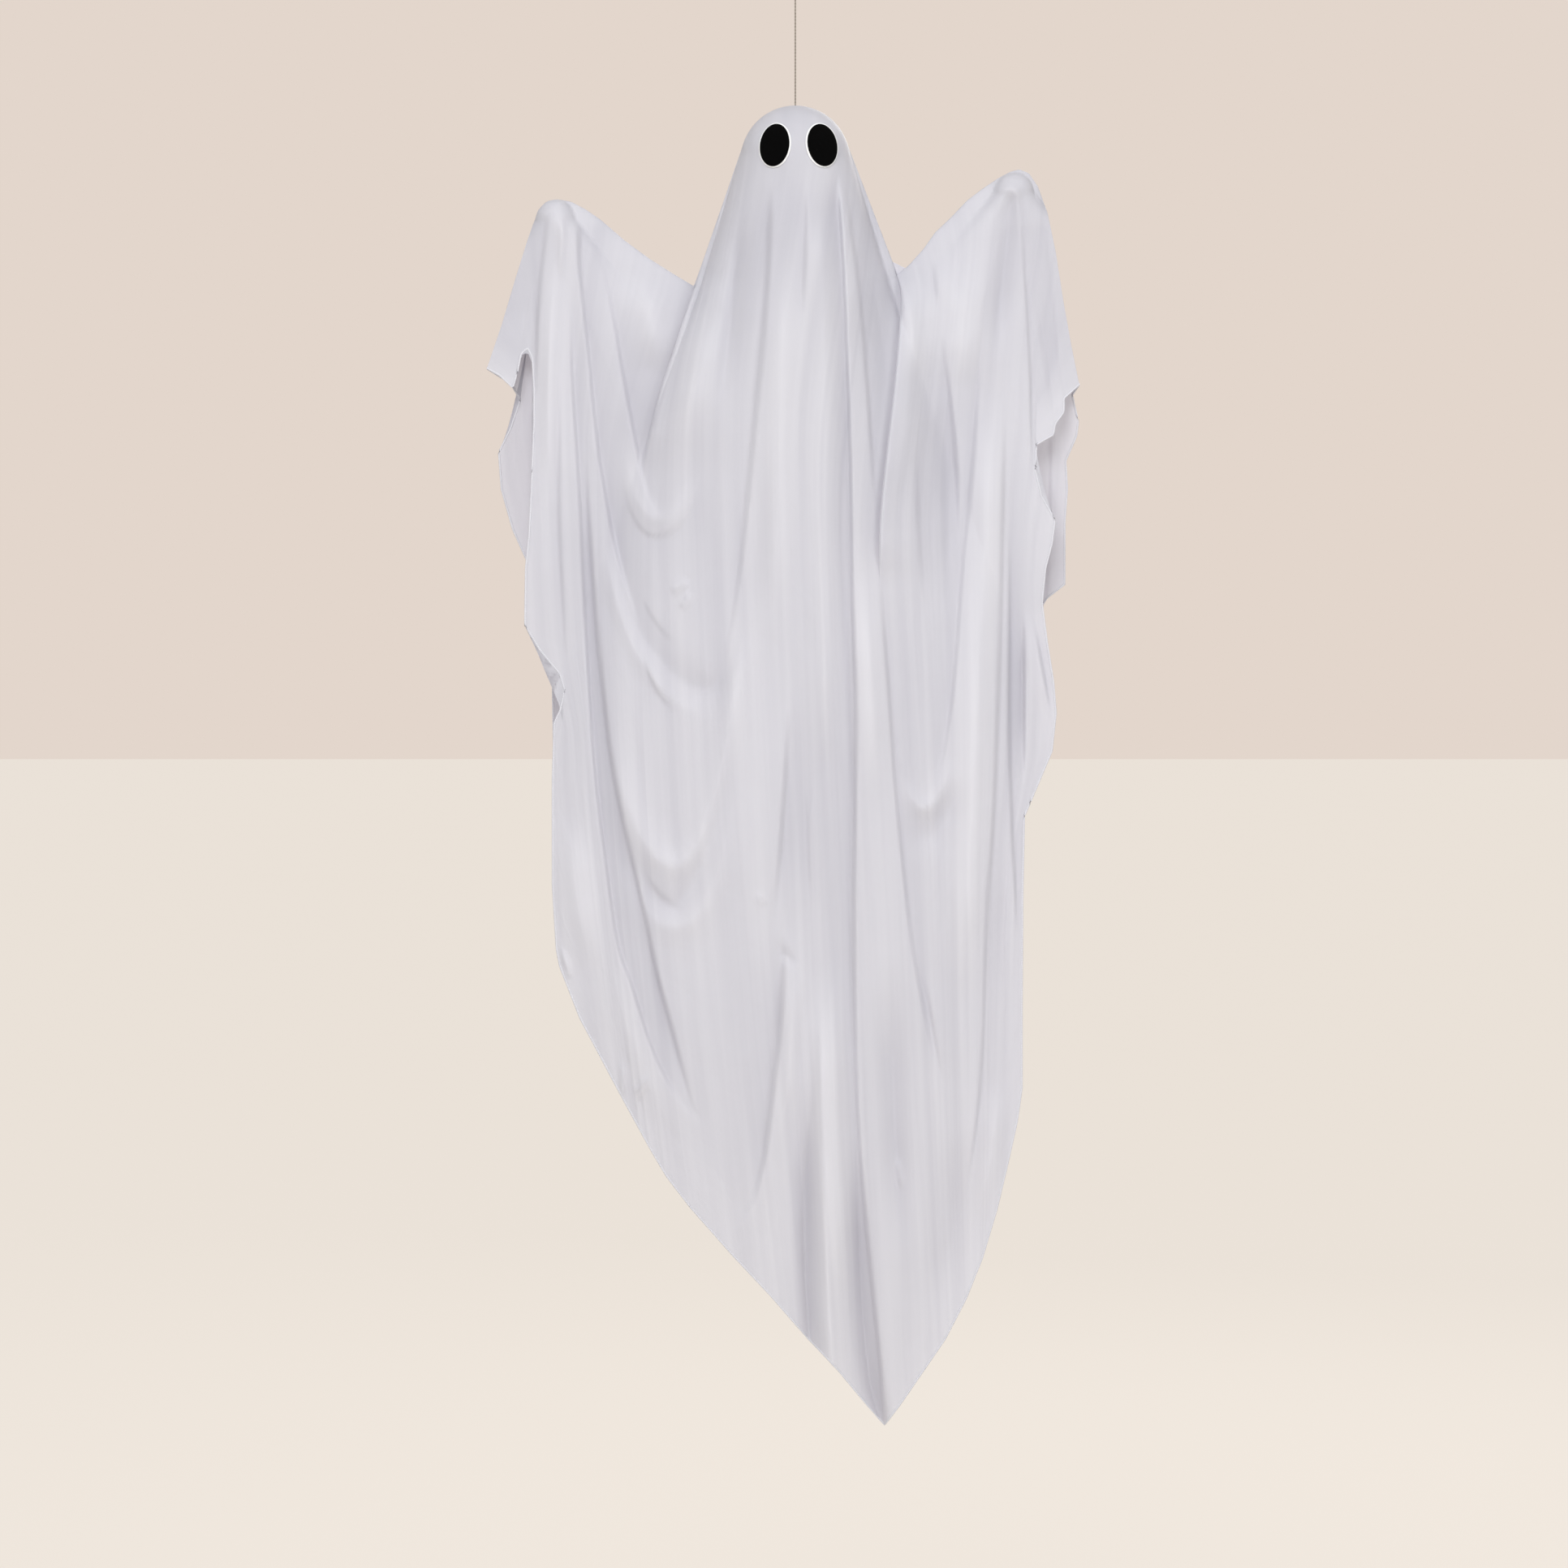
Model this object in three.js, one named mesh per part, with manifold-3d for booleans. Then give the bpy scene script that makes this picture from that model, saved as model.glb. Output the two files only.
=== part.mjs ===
// Light-up hanging ghost figure: a white sheet draped over a lit globe head and two raised, posable arms.
// Millimetres, +Z up, +X to the viewer's right, the face looks along -Y. The origin is the inside top of the
// hanging loop. Heights inside the figure are drops, counted down from the top of the covered head.
import * as THREE from "three";
import { mergeVertices } from "three/addons/utils/BufferGeometryUtils.js";
import Module from "manifold-3d";

const wasm = await Module();
wasm.setup();

// Shared clearances
const TOUCH = 0.3; // gap between two pieces that touch
const RAD = Math.PI / 180;
const REACH = 200; // half size of a block or drill that cuts right past a piece

// Hanging cord
const HANG = 150; // loop's inner top down to the top of the covered head
const CORD_D = 1.5;
const LOOP_HEIGHT = 34;
const LOOP_WIDTH = 14;
const CRIMP_LENGTH = 9;
const CRIMP_D = 4.4;
const WASHER_D = 11;
const WASHER_T = 1;
const KNOT_D = 5;
const LOOP_FOOT_GAP = 0.35; // half the gap between the loop's two legs where they enter the crimp
const LOOP_FOOT = 3; // straight part of each leg

// Globe head
const GLOBE_R = 48.6;
const GLOBE_WALL = 1.8;
const SHELL_STEPS = 7; // facets from equator to pole
const LAP = 4; // how far the upper shell's lip reaches down inside the lower shell
const COLLAR_WALL = 2.6;
const COLLAR_LENGTH = 16;
const PIN_BELOW_MIDDLE = 3; // neck pin below the middle of the collar

// Lamp board inside the head
const BOARD_R = 19;
const BOARD_T = 1.6;
const BOARD_DROP = 79;
const LED_COUNT = 6;
const LED_RING_R = 11;
const LED_R = 2.5;
const LED_BODY = 6.2;
const LED_FLANGE = 0.4; // how far the lamp's foot flange stands out
const LED_FLANGE_T = 1;
const SCREW_COUNT = 3;
const SCREW_RING_R = 15.5;
const SMALL_SCREW_R = 1.1;
const SMALL_HEAD_R = 2.1;
const SMALL_HEAD_T = 1.3;
const SMALL_SCREW_LENGTH = 6;
const BOSS_R = 2.6;

// Neck tube
const NECK_R = 10;
const NECK_WALL = 1.5;
const NECK_ABOVE_HUB = 3; // clearance between the neck tube's end and the arm sockets

// Shoulder hub
const PIVOT_DROP = 252;
const PIVOT_X = 14;
const PLATE_T = 3;
const PLATE_HALF = 44;
const PLATE_UP = 32;
const PLATE_DOWN = 24;
const PLATE_CORNER = 9;
const NECK_IN_HUB = 24;
const NECK_SHOULDER = 14; // flat top of the plates beyond the neck collar
const PLATE_STEP = 4; // above the pivots, where the plates start to narrow
const POST_R = 3;
const POST_GAP = 0.6; // stop post to the arm socket at the limit
const LOW_POST_OUT = 24;
const HIGH_POST_OUT = 24;
const LOWEST_ARM = 24; // degrees above level at the lower stop
const HIGHEST_ARM = 50; // degrees above level at the upper stop

// Arms
const SOCKET_R = 10.5;
const SOCKET_T = 8;
const SLEEVE_R = 4.5; // boss that grips the rod
const SLEEVE_REACH = 38;
const ROD_R = 2;
const ROD_START = 16;
const ARM_LENGTH = 253; // pivot to the centre of the hand ball
const HAND_R = 16.6;
const ROD_IN_HAND = 0.45; // share of the ball's radius that the rod reaches past its centre
const LEFT_LIFT = 36; // degrees above level as photographed
const RIGHT_LIFT = 43;
const PIVOT_R = 2;
const PIVOT_HEAD_R = 4;
const PIVOT_HEAD_T = 2.4;
const NUT_R = 4.2;
const NUT_T = 3.2;
const FRICTION_T = 1;
const FRICTION_R = 6.5;

// Battery case under the hub
const TAB_T = 3;
const TAB_HALF = 14;
const TAB_HEIGHT = 20;
const CASE_WALL = 1.8;
const CELL_R = 7.1;
const CELL_LENGTH = 48;
const CELL_PITCH = 15;
const CELL_COUNT = 3;
const CELL_NOSE_R = 2.7;
const CELL_NOSE_T = 1.6;
const SPRING_T = 5;
const SPRING_WIDE_R = 4.6;
const SPRING_NARROW_R = 2.6;
const CONTACT_T = 0.8;
const CONTACT_HALF = 5;
const SWITCH_BAY = 11;
const DOOR_T = 1.8;
const DOOR_GRIP = 1.6;
const GRIP_HALF = 8;
const GRIP_WIDTH = 3;
const GRIP_FROM_END = 8;
const CASE_LIP = 1.4; // rim that stands over the door's edges
const DOOR_SHOULDER = 3; // solid strip above the door opening
const RAIL = 3.4;
const SWITCH_TRAVEL = 3;
const KNOB_WIDTH = 4;
const KNOB_HEIGHT = 3.4;
const KNOB_OUT = 2.4;
const KNOB_BASE_T = 1.2;
const SWITCH_HALF_WIDTH = 7;
const SWITCH_HALF_HEIGHT = 4;
const SWITCH_DEPTH = 6.5;

// Leads
const LEAD_R = 0.8;
const LEAD_X = 1.4;
const LEAD_Y = 1.2;

// Sheet
const SHEET_T = 1;
const SHEET_EASE = 0.9; // room between the globe and the cloth's inner face
const FLARE = 16.6; // degrees from vertical that the cloth leaves the head at
const SEAM_ARC = 72; // along the crest from the head top to the arm panels
const SEAM_SPREAD = 112; // half width between the two panel lines at the hem
const FRONT_TIP = [81, 1200]; // x and drop of the lowest point
const LEFT_CORNER = [-214, 783];
const RIGHT_CORNER = [206, 894];
const LEFT_CUFF = { length: 164, lean: 24 };
const RIGHT_CUFF = { length: 200, lean: 15.6 };
const BACK_SHARE = 0.955; // how far down the back layer hangs, against the front
const FACE_FLAT = { start: 5, gain: 13, over: 90 }; // how far the cloth hangs off the arms' plane
const BODY_SWELL = { gain: 9, over: 260 }; // how much deeper the cloth is below the head
const BODY_SPREAD = 0.06; // how much the body widens below the arms, for each mm down
const FOLD_FADE = 80; // length over which a fold starts and ends
const FOLD_FALL = 60; // fall below the crest at which folds have their full height
const BACK_FOLD = { shift: -0.92, height: 0.7 }; // the back repeats the front's folds, mirrored and shallower
const BODY_COLUMNS = 12;
const DOME_ROWS = 6;
const HANG_ROWS = 13;
const ROW_GROWTH = 1.12; // rows get longer towards the hem
const PANEL_CELLS = [0, 4, 3, 1, 1, 3]; // columns between the stops of the crest
const FACET_ROOM = 0.15; // extra room between the facets and what the cloth lies on

// Eyes
const EYE_HALF_WIDTH = 12.8;
const EYE_HALF_HEIGHT = 18.8;
const EYE_T = 1.2;
const EYE_BORDER = 1.6;
const EYE_BOW = 0.2; // the felt stands this far off the cloth where the cloth turns away
const LEFT_EYE = { x: -18.2, drop: 36, lean: 10 };
const RIGHT_EYE = { x: 23.8, drop: 36, lean: -13 };

const ghost = new THREE.Group();

// Materials
const paint = (color, roughness, metalness = 0, extra = {}) =>
  new THREE.MeshStandardMaterial({ color, roughness, metalness, ...extra });
const satin = paint("#e4e1ea", 0.6, 0, { side: THREE.DoubleSide });
const blackFelt = paint("#050505", 0.95);
const whiteFelt = paint("#f4f4f4", 0.95);
const twine = paint("#a39a90", 0.8);
const milky = paint("#f2f0ea", 0.4);
const resin = paint("#e8eef2", 0.15);
const board = paint("#e9ebe6", 0.5);
const steel = paint("#a9abad", 0.3, 1);
const whitePlastic = paint("#dedcd6", 0.5);
const blackPlastic = paint("#1b1b1d", 0.5);
const cellJacket = paint("#3a4a58", 0.4);
const redLead = paint("#a8201c", 0.5);
const blackLead = paint("#151515", 0.5);
const foam = paint("#f3f1ec", 0.9);

function add(name, geometry, material, parent = ghost) {
  const mesh = new THREE.Mesh(geometry, material);
  mesh.name = name;
  parent.add(mesh);
  return mesh;
}

const zAt = (drop) => -(HANG + drop);

// Points merged, slivers dropped and faces turned outwards
function closed(geometry) {
  const bare = geometry.clone();
  for (const name of Object.keys(bare.attributes)) {
    if (name !== "position") bare.deleteAttribute(name);
  }
  const merged = mergeVertices(bare, 1e-4);
  const p = merged.attributes.position.array;
  const faces = [];
  let volume = 0;
  for (let i = 0; i < merged.index.count; i += 3) {
    const [a, b, c] = [0, 1, 2].map((k) => merged.index.getX(i + k));
    if (a === b || b === c || c === a) continue;
    faces.push(a, b, c);
    const [ax, ay, az, bx, by, bz, cx, cy, cz] = [a, b, c].flatMap((v) => [p[3 * v], p[3 * v + 1], p[3 * v + 2]]);
    volume += ax * (by * cz - bz * cy) + ay * (bz * cx - bx * cz) + az * (bx * cy - by * cx);
  }
  if (volume < 0) faces.reverse();
  merged.setIndex(faces);
  return merged;
}

// Solids for cutting and joining
function toSolid(geometry) {
  const skin = closed(geometry);
  return new wasm.Manifold(new wasm.Mesh({
    numProp: 3,
    vertProperties: new Float32Array(skin.attributes.position.array),
    triVerts: new Uint32Array(skin.index.array),
  }));
}

function toGeometry(solid) {
  const mesh = solid.getMesh();
  const points = new Float32Array(mesh.numVert * 3);
  for (let i = 0; i < mesh.numVert; i++) {
    for (let axis = 0; axis < 3; axis++) {
      points[3 * i + axis] = mesh.vertProperties[mesh.numProp * i + axis];
    }
  }
  const geometry = new THREE.BufferGeometry();
  geometry.setAttribute("position", new THREE.BufferAttribute(points, 3));
  geometry.setIndex(Array.from(mesh.triVerts));
  return geometry;
}

const join = (first, ...rest) => toGeometry(rest.reduce((sum, g) => sum.add(toSolid(g)), toSolid(first)));
const cut = (first, ...rest) => toGeometry(rest.reduce((sum, g) => sum.subtract(toSolid(g)), toSolid(first)));

// A box between two corners
function box(x0, x1, y0, y1, z0, z1) {
  return new THREE.BoxGeometry(x1 - x0, y1 - y0, z1 - z0)
    .translate((x0 + x1) / 2, (y0 + y1) / 2, (z0 + z1) / 2);
}

// A round bar between two points
function bar(from, to, radius, sides = 24) {
  const a = new THREE.Vector3(...from);
  const b = new THREE.Vector3(...to);
  const along = b.clone().sub(a);
  const turn = new THREE.Quaternion().setFromUnitVectors(new THREE.Vector3(0, 1, 0), along.clone().normalize());
  const middle = a.add(b).multiplyScalar(0.5);
  return new THREE.CylinderGeometry(radius, radius, along.length(), sides)
    .applyQuaternion(turn)
    .translate(middle.x, middle.y, middle.z);
}

// A body turned about the Z axis from a list of [radius, z] points; a list off the axis closes on its start
function turned(points, sides = 32) {
  const profile = points.map(([r, z]) => new THREE.Vector2(r < 1e-6 ? 0 : r, z));
  if (profile[0].x > 0 || profile.at(-1).x > 0) profile.push(profile[0].clone());
  return closed(new THREE.LatheGeometry(profile, sides).rotateX(Math.PI / 2));
}

// A flat ring or disc whose axis is Y
function disc(x, drop, y0, y1, radius, hole = 0, sides = 24) {
  const full = bar([x, y0, zAt(drop)], [x, y1, zAt(drop)], radius, sides);
  return hole ? cut(full, bar([x, y0 - 1, zAt(drop)], [x, y1 + 1, zAt(drop)], hole, sides)) : full;
}

// Places that several pieces share
const sheetOuterR = GLOBE_R + SHEET_EASE + SHEET_T;
const headDrop = sheetOuterR; // centre of the globe
const neckBore = NECK_R + TOUCH;
const neckTop = headDrop + Math.sqrt(GLOBE_R ** 2 - neckBore ** 2) - GLOBE_WALL - 2;
const collarEnd = neckTop + COLLAR_LENGTH;
const neckEnd = PIVOT_DROP - SOCKET_R - NECK_ABOVE_HUB;
const plateInner = SOCKET_T / 2 + FRICTION_T + 2 * TOUCH;
const plateOuter = plateInner + PLATE_T;
const arms = [
  { side: -1, name: "left", lift: LEFT_LIFT },
  { side: 1, name: "right", lift: RIGHT_LIFT },
].map((arm) => {
  const run = Math.cos(arm.lift * RAD) * arm.side;
  const rise = Math.sin(arm.lift * RAD);
  const at = (along, up = 0) => [
    arm.side * PIVOT_X + run * along - rise * arm.side * up,
    PIVOT_DROP - rise * along - Math.cos(arm.lift * RAD) * up,
  ];
  return { ...arm, run, rise, at, hand: at(ARM_LENGTH) };
});

// Hanging cord: knot and washer inside the globe, a crimped loop at the top
function spherePoints(radius, centre, from, to, steps) {
  return Array.from({ length: steps + 1 }, (_, i) => {
    const angle = (from + (to - from) * (i / steps)) * RAD;
    return [radius * Math.cos(angle), centre + radius * Math.sin(angle)];
  });
}

function addCord() {
  const globeInside = headDrop - (GLOBE_R - GLOBE_WALL);
  const washerTop = globeInside + WASHER_D / 2 * Math.tan(45 / SHELL_STEPS * RAD) + TOUCH;
  const knotTop = washerTop + WASHER_T + TOUCH;
  const crimpTop = -(HANG - LOOP_HEIGHT);
  const crimpEnd = crimpTop + CRIMP_LENGTH;
  const knotZ = zAt(knotTop + KNOT_D / 2);
  add("cord_knot", turned([
    [0, knotZ - KNOT_D / 2],
    ...spherePoints(KNOT_D / 2, knotZ, -60, 60, 6),
    [0, knotZ + KNOT_D / 2],
  ], 12), twine);
  add("cord_washer", cut(
    bar([0, 0, zAt(washerTop)], [0, 0, zAt(washerTop + WASHER_T)], WASHER_D / 2),
    bar([0, 0, zAt(washerTop - 1)], [0, 0, zAt(washerTop + WASHER_T + 1)], CORD_D / 2 + TOUCH, 16),
  ), steel);
  add("hanging_cord", bar([0, 0, zAt(knotTop - TOUCH)], [0, 0, zAt(crimpEnd + TOUCH)], CORD_D / 2, 8), twine);
  add("cord_crimp", bar([0, 0, zAt(crimpEnd)], [0, 0, zAt(crimpTop)], CRIMP_D / 2, 16), steel);

  const footX = CORD_D / 2 + LOOP_FOOT_GAP;
  const footZ = zAt(crimpTop) + TOUCH;
  const crown = CORD_D / 2; // the loop's inside top is the origin
  const route = new THREE.CatmullRomCurve3([
    [-footX, footZ],
    [-footX, footZ + LOOP_FOOT],
    [-LOOP_WIDTH * 0.4, -LOOP_HEIGHT * 0.55],
    [-LOOP_WIDTH / 2, -LOOP_WIDTH / 2],
    [-LOOP_WIDTH * 0.36, -LOOP_WIDTH * 0.13],
    [0, crown],
    [LOOP_WIDTH * 0.36, -LOOP_WIDTH * 0.13],
    [LOOP_WIDTH / 2, -LOOP_WIDTH / 2],
    [LOOP_WIDTH * 0.4, -LOOP_HEIGHT * 0.55],
    [footX, footZ + LOOP_FOOT],
    [footX, footZ],
  ].map(([x, z]) => new THREE.Vector3(x, 0, z)));
  const section = new THREE.Shape();
  for (let i = 0; i < 8; i++) {
    const angle = (i + 0.5) * Math.PI / 4;
    const point = [CORD_D / 2 * Math.cos(angle), CORD_D / 2 * Math.sin(angle)];
    if (i) section.lineTo(...point);
    else section.moveTo(...point);
  }
  add("cord_loop", closed(new THREE.ExtrudeGeometry(section, { steps: 30, extrudePath: route })), twine);
}

// Globe head: two milky shells with a lap joint, a collar below and bosses for the lamp board
function shellPoints(outer, inner, centre, from, to, steps) {
  return [
    ...spherePoints(outer, centre, from, to, steps),
    ...spherePoints(inner, centre, to, from, steps),
  ];
}

function addHead() {
  const centre = zAt(headDrop);
  const inner = GLOBE_R - GLOBE_WALL;
  const half = GLOBE_WALL / 2;
  const upper = turned([
    [inner, centre - LAP],
    [inner + half - TOUCH / 2, centre - LAP],
    [inner + half - TOUCH / 2, centre + TOUCH],
    ...spherePoints(GLOBE_R, centre, 0.5, 90, SHELL_STEPS),
    ...spherePoints(inner, centre, 90, 0, SHELL_STEPS),
  ], 28);
  add("head_upper_shell", cut(upper,
    bar([0, 0, centre], [0, 0, zAt(0)], CORD_D / 2 + TOUCH, 12)), milky);

  const bowl = turned([
    ...spherePoints(GLOBE_R, centre, -90, -0.4, SHELL_STEPS),
    [inner + half + TOUCH / 2, centre - 0.3],
    [inner + half + TOUCH / 2, centre - LAP - TOUCH],
    [inner - 0.4, centre - LAP - TOUCH],
    ...spherePoints(inner, centre, -8, -90, SHELL_STEPS - 1),
  ], 28);
  const collar = bar([0, 0, zAt(neckTop)], [0, 0, zAt(collarEnd)], neckBore + COLLAR_WALL, 24);
  const bossTop = zAt(BOARD_DROP + BOARD_T / 2 + TOUCH);
  const bosses = screwSpots().map(([x, y]) => {
    const bossFoot = centre - Math.sqrt(inner ** 2 - (Math.hypot(x, y) + BOSS_R) ** 2) - 1;
    return bar([x, y, bossFoot], [x, y, bossTop], BOSS_R, 16);
  });
  const holes = screwSpots().map(([x, y]) => bar([x, y, bossTop - SMALL_SCREW_LENGTH - 1], [x, y, bossTop + 1], SMALL_SCREW_R + TOUCH, 12));
  add("head_lower_shell", cut(
    join(bowl, collar, ...bosses),
    bar([0, 0, zAt(neckTop - 6)], [0, 0, zAt(collarEnd + 1)], neckBore, 24),
    disc(0, neckPinDrop(), -REACH, 0, SMALL_SCREW_R + TOUCH, 0, 12),
    ...holes,
  ), milky);
}

function screwSpots() {
  return Array.from({ length: SCREW_COUNT }, (_, i) => {
    const angle = (90 + i * 360 / SCREW_COUNT) * RAD;
    return [SCREW_RING_R * Math.cos(angle), SCREW_RING_R * Math.sin(angle)];
  });
}

const neckPinDrop = () => (neckTop + GLOBE_WALL + collarEnd) / 2 + PIN_BELOW_MIDDLE;

// Lamp board: six round lamps facing up into the globe
function addLamps() {
  const top = zAt(BOARD_DROP - BOARD_T / 2);
  const under = zAt(BOARD_DROP + BOARD_T / 2);
  const holes = screwSpots().map(([x, y]) => bar([x, y, under - 1], [x, y, top + 1], SMALL_SCREW_R + TOUCH, 12));
  add("led_board", cut(bar([0, 0, under], [0, 0, top], BOARD_R, 28), ...holes), board);
  screwSpots().forEach(([x, y], i) => {
    const head = top + TOUCH;
    add(`board_screw_${i + 1}`, turned([
      [0, head - SMALL_SCREW_LENGTH],
      [SMALL_SCREW_R, head - SMALL_SCREW_LENGTH],
      [SMALL_SCREW_R, head],
      [SMALL_HEAD_R, head],
      [SMALL_HEAD_R, head + SMALL_HEAD_T],
      [0, head + SMALL_HEAD_T],
    ], 12).translate(x, y, 0), steel);
  });
  for (let i = 0; i < LED_COUNT; i++) {
    const angle = i * 360 / LED_COUNT * RAD;
    const foot = top + TOUCH;
    add(`led_${i + 1}`, turned([
      [0, foot],
      [LED_R + LED_FLANGE, foot],
      [LED_R + LED_FLANGE, foot + LED_FLANGE_T],
      [LED_R, foot + LED_FLANGE_T],
      ...spherePoints(LED_R, foot + LED_BODY, 0, 90, 3),
    ], 12).translate(LED_RING_R * Math.cos(angle), LED_RING_R * Math.sin(angle), 0), resin);
  }
}

// Neck tube with a pin screw at each end
function addNeck() {
  const tube = cut(
    bar([0, 0, zAt(neckTop + 1)], [0, 0, zAt(neckEnd)], NECK_R, 24),
    bar([0, 0, zAt(neckTop)], [0, 0, zAt(neckEnd + 1)], NECK_R - NECK_WALL, 24),
    disc(0, neckPinDrop(), -REACH, 0, SMALL_SCREW_R + TOUCH, 0, 12),
  );
  add("neck_tube", tube, whitePlastic);
  const seat = -(neckBore + COLLAR_WALL);
  const pin = join(
    disc(0, neckPinDrop(), seat - TOUCH - SMALL_HEAD_T, seat - TOUCH, SMALL_HEAD_R, 0, 12),
    disc(0, neckPinDrop(), seat - TOUCH - 0.2, -(NECK_R - NECK_WALL - 1.5), SMALL_SCREW_R, 0, 12),
  );
  add("neck_pin", pin, steel);
}

// Shoulder hub: two plates that hold the neck tube and both arm sockets between them
function stopPosts() {
  const off = SLEEVE_R + POST_GAP + POST_R;
  return arms.flatMap(({ side }) => [LOWEST_ARM, HIGHEST_ARM].map((lift, upper) => {
    const c = Math.cos(lift * RAD);
    const s = Math.sin(lift * RAD);
    const across = upper ? off : -off;
    const along = upper ? HIGH_POST_OUT : LOW_POST_OUT;
    return [side * (PIVOT_X + along * c - across * s), PIVOT_DROP - along * s - across * c];
  }));
}

function addHub() {
  const posts = stopPosts();
  const [lowPost, , lowPostRight] = posts;
  const outline = new THREE.Shape();
  const w = PLATE_HALF;
  const up = zAt(PIVOT_DROP) + PLATE_UP;
  const down = zAt(PIVOT_DROP) - PLATE_DOWN;
  const r = PLATE_CORNER;
  outline.moveTo(-w + r, down);
  outline.lineTo(w - r, down);
  outline.absarc(w - r, down + r, r, -Math.PI / 2, 0);
  const topHalf = neckBore + COLLAR_WALL + NECK_SHOULDER;
  outline.lineTo(w, zAt(PIVOT_DROP) + PLATE_STEP);
  outline.lineTo(topHalf, up);
  outline.lineTo(-topHalf, up);
  outline.lineTo(-w, zAt(PIVOT_DROP) + PLATE_STEP);
  outline.lineTo(-w, down + r);
  outline.absarc(-w + r, down + r, r, Math.PI, Math.PI * 1.5);
  for (const [name, face] of [["front", -1], ["back", 1]]) {
    const flat = new THREE.ExtrudeGeometry(outline, { depth: PLATE_T, bevelEnabled: false, curveSegments: 6 })
      .rotateX(Math.PI / 2)
      .translate(0, face < 0 ? -plateInner : plateOuter, 0);
    const neckTopInHub = neckEnd - NECK_IN_HUB;
    const collar = bar([0, 0, zAt(neckTopInHub)], [0, 0, zAt(neckEnd - 1)], neckBore + COLLAR_WALL, 24);
    const y0 = face * TOUCH / 2;
    const pillars = posts.map(([x, drop]) => disc(x, drop, y0, face * (plateInner + 1), POST_R, 0, 14));
    const cuts = [
      bar([0, 0, zAt(neckTopInHub - 1)], [0, 0, zAt(neckEnd + 1)], neckBore, 24),
      face < 0
        ? box(-REACH, REACH, y0, REACH, zAt(neckEnd + REACH), zAt(neckTopInHub - REACH))
        : box(-REACH, REACH, -REACH, y0, zAt(neckEnd + REACH), zAt(neckTopInHub - REACH)),
      ...arms.map(({ side }) => disc(side * PIVOT_X, PIVOT_DROP, -REACH, REACH, PIVOT_R + TOUCH, 0, 20)),
      ...[lowPost, lowPostRight].map(([x, drop]) => disc(x, drop, -REACH, REACH, SMALL_SCREW_R + TOUCH, 0, 12)),
    ];
    const pieces = [flat, collar, ...pillars];
    if (face < 0) {
      pieces.push(box(-TAB_HALF, TAB_HALF, -plateOuter, -plateInner, zAt(tabEnd() - 1), down + 1));
      cuts.push(...tabScrewSpots().map(([x, drop]) => disc(x, drop, -REACH, REACH, SMALL_SCREW_R + TOUCH, 0, 12)));
    }
    add(`hub_${name}`, cut(join(...pieces), ...cuts), whitePlastic);
  }
  [lowPost, lowPostRight].forEach(([x, drop], i) => {
    add(`hub_screw_${i + 1}`, join(
      disc(x, drop, -plateOuter - TOUCH - SMALL_HEAD_T, -plateOuter - TOUCH, SMALL_HEAD_R + 0.6, 0, 16),
      disc(x, drop, -plateOuter - TOUCH - 0.2, plateInner, SMALL_SCREW_R, 0, 12),
    ), steel);
  });
}

// Arms: a plastic socket on the pivot, a steel rod and a foam hand ball
function addArms() {
  for (const { side, name, at, hand, run, rise } of arms) {
    const x = side * PIVOT_X;
    const along = ([px, drop]) => [px, 0, zAt(drop)];
    const hub = disc(x, PIVOT_DROP, -SOCKET_T / 2, SOCKET_T / 2, SOCKET_R, 0, 32);
    const grip = bar(along(at(SOCKET_R - 3)), along(at(SLEEVE_REACH)), SLEEVE_R, 24);
    add(`arm_${name}_socket`, cut(
      join(hub, grip),
      disc(x, PIVOT_DROP, -REACH, REACH, PIVOT_R + TOUCH, 0, 20),
      bar(along(at(ROD_START - TOUCH)), along(at(SLEEVE_REACH + 5)), ROD_R + TOUCH, 16),
    ), whitePlastic);
    const pastCentre = HAND_R * ROD_IN_HAND;
    const rodEnd = ARM_LENGTH + pastCentre;
    add(`arm_${name}_rod`, bar(along(at(ROD_START)), along(at(rodEnd)), ROD_R, 16), steel);
    const [hx, hz] = [hand[0], zAt(hand[1])];
    const ball = new THREE.SphereGeometry(HAND_R, 18, 11).rotateX(Math.PI / 2).translate(hx, 0, hz);
    add(`hand_${name}`, cut(ball,
      bar([hx - run * HAND_R * 2, 0, hz - rise * HAND_R * 2],
        [hx + run * (pastCentre + TOUCH), 0, hz + rise * (pastCentre + TOUCH)], ROD_R + TOUCH, 16)), foam);
    add(`arm_${name}_pivot_screw`, join(
      disc(x, PIVOT_DROP, -plateOuter - TOUCH - PIVOT_HEAD_T, -plateOuter - TOUCH, PIVOT_HEAD_R, 0, 20),
      disc(x, PIVOT_DROP, -plateOuter - TOUCH - 0.2, plateOuter + TOUCH + NUT_T + 1, PIVOT_R, 0, 20),
    ), steel);
    add(`arm_${name}_pivot_nut`, disc(x, PIVOT_DROP, plateOuter + TOUCH, plateOuter + TOUCH + NUT_T, NUT_R,
      PIVOT_R + TOUCH, 6), steel);
    add(`arm_${name}_friction_ring`, disc(x, PIVOT_DROP, SOCKET_T / 2 + TOUCH, SOCKET_T / 2 + TOUCH + FRICTION_T,
      FRICTION_R, PIVOT_R + TOUCH, 16), blackPlastic);
  }
}

// Battery case: a switch bay on top, a row of cells below, open to the back and closed by a sliding door
const tabEnd = () => PIVOT_DROP + PLATE_DOWN + TAB_HEIGHT;
const tabScrewSpots = () => [-1, 1].map((side) => [side * TAB_HALF * 0.6, tabEnd() - TAB_HEIGHT / 2]);

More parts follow.
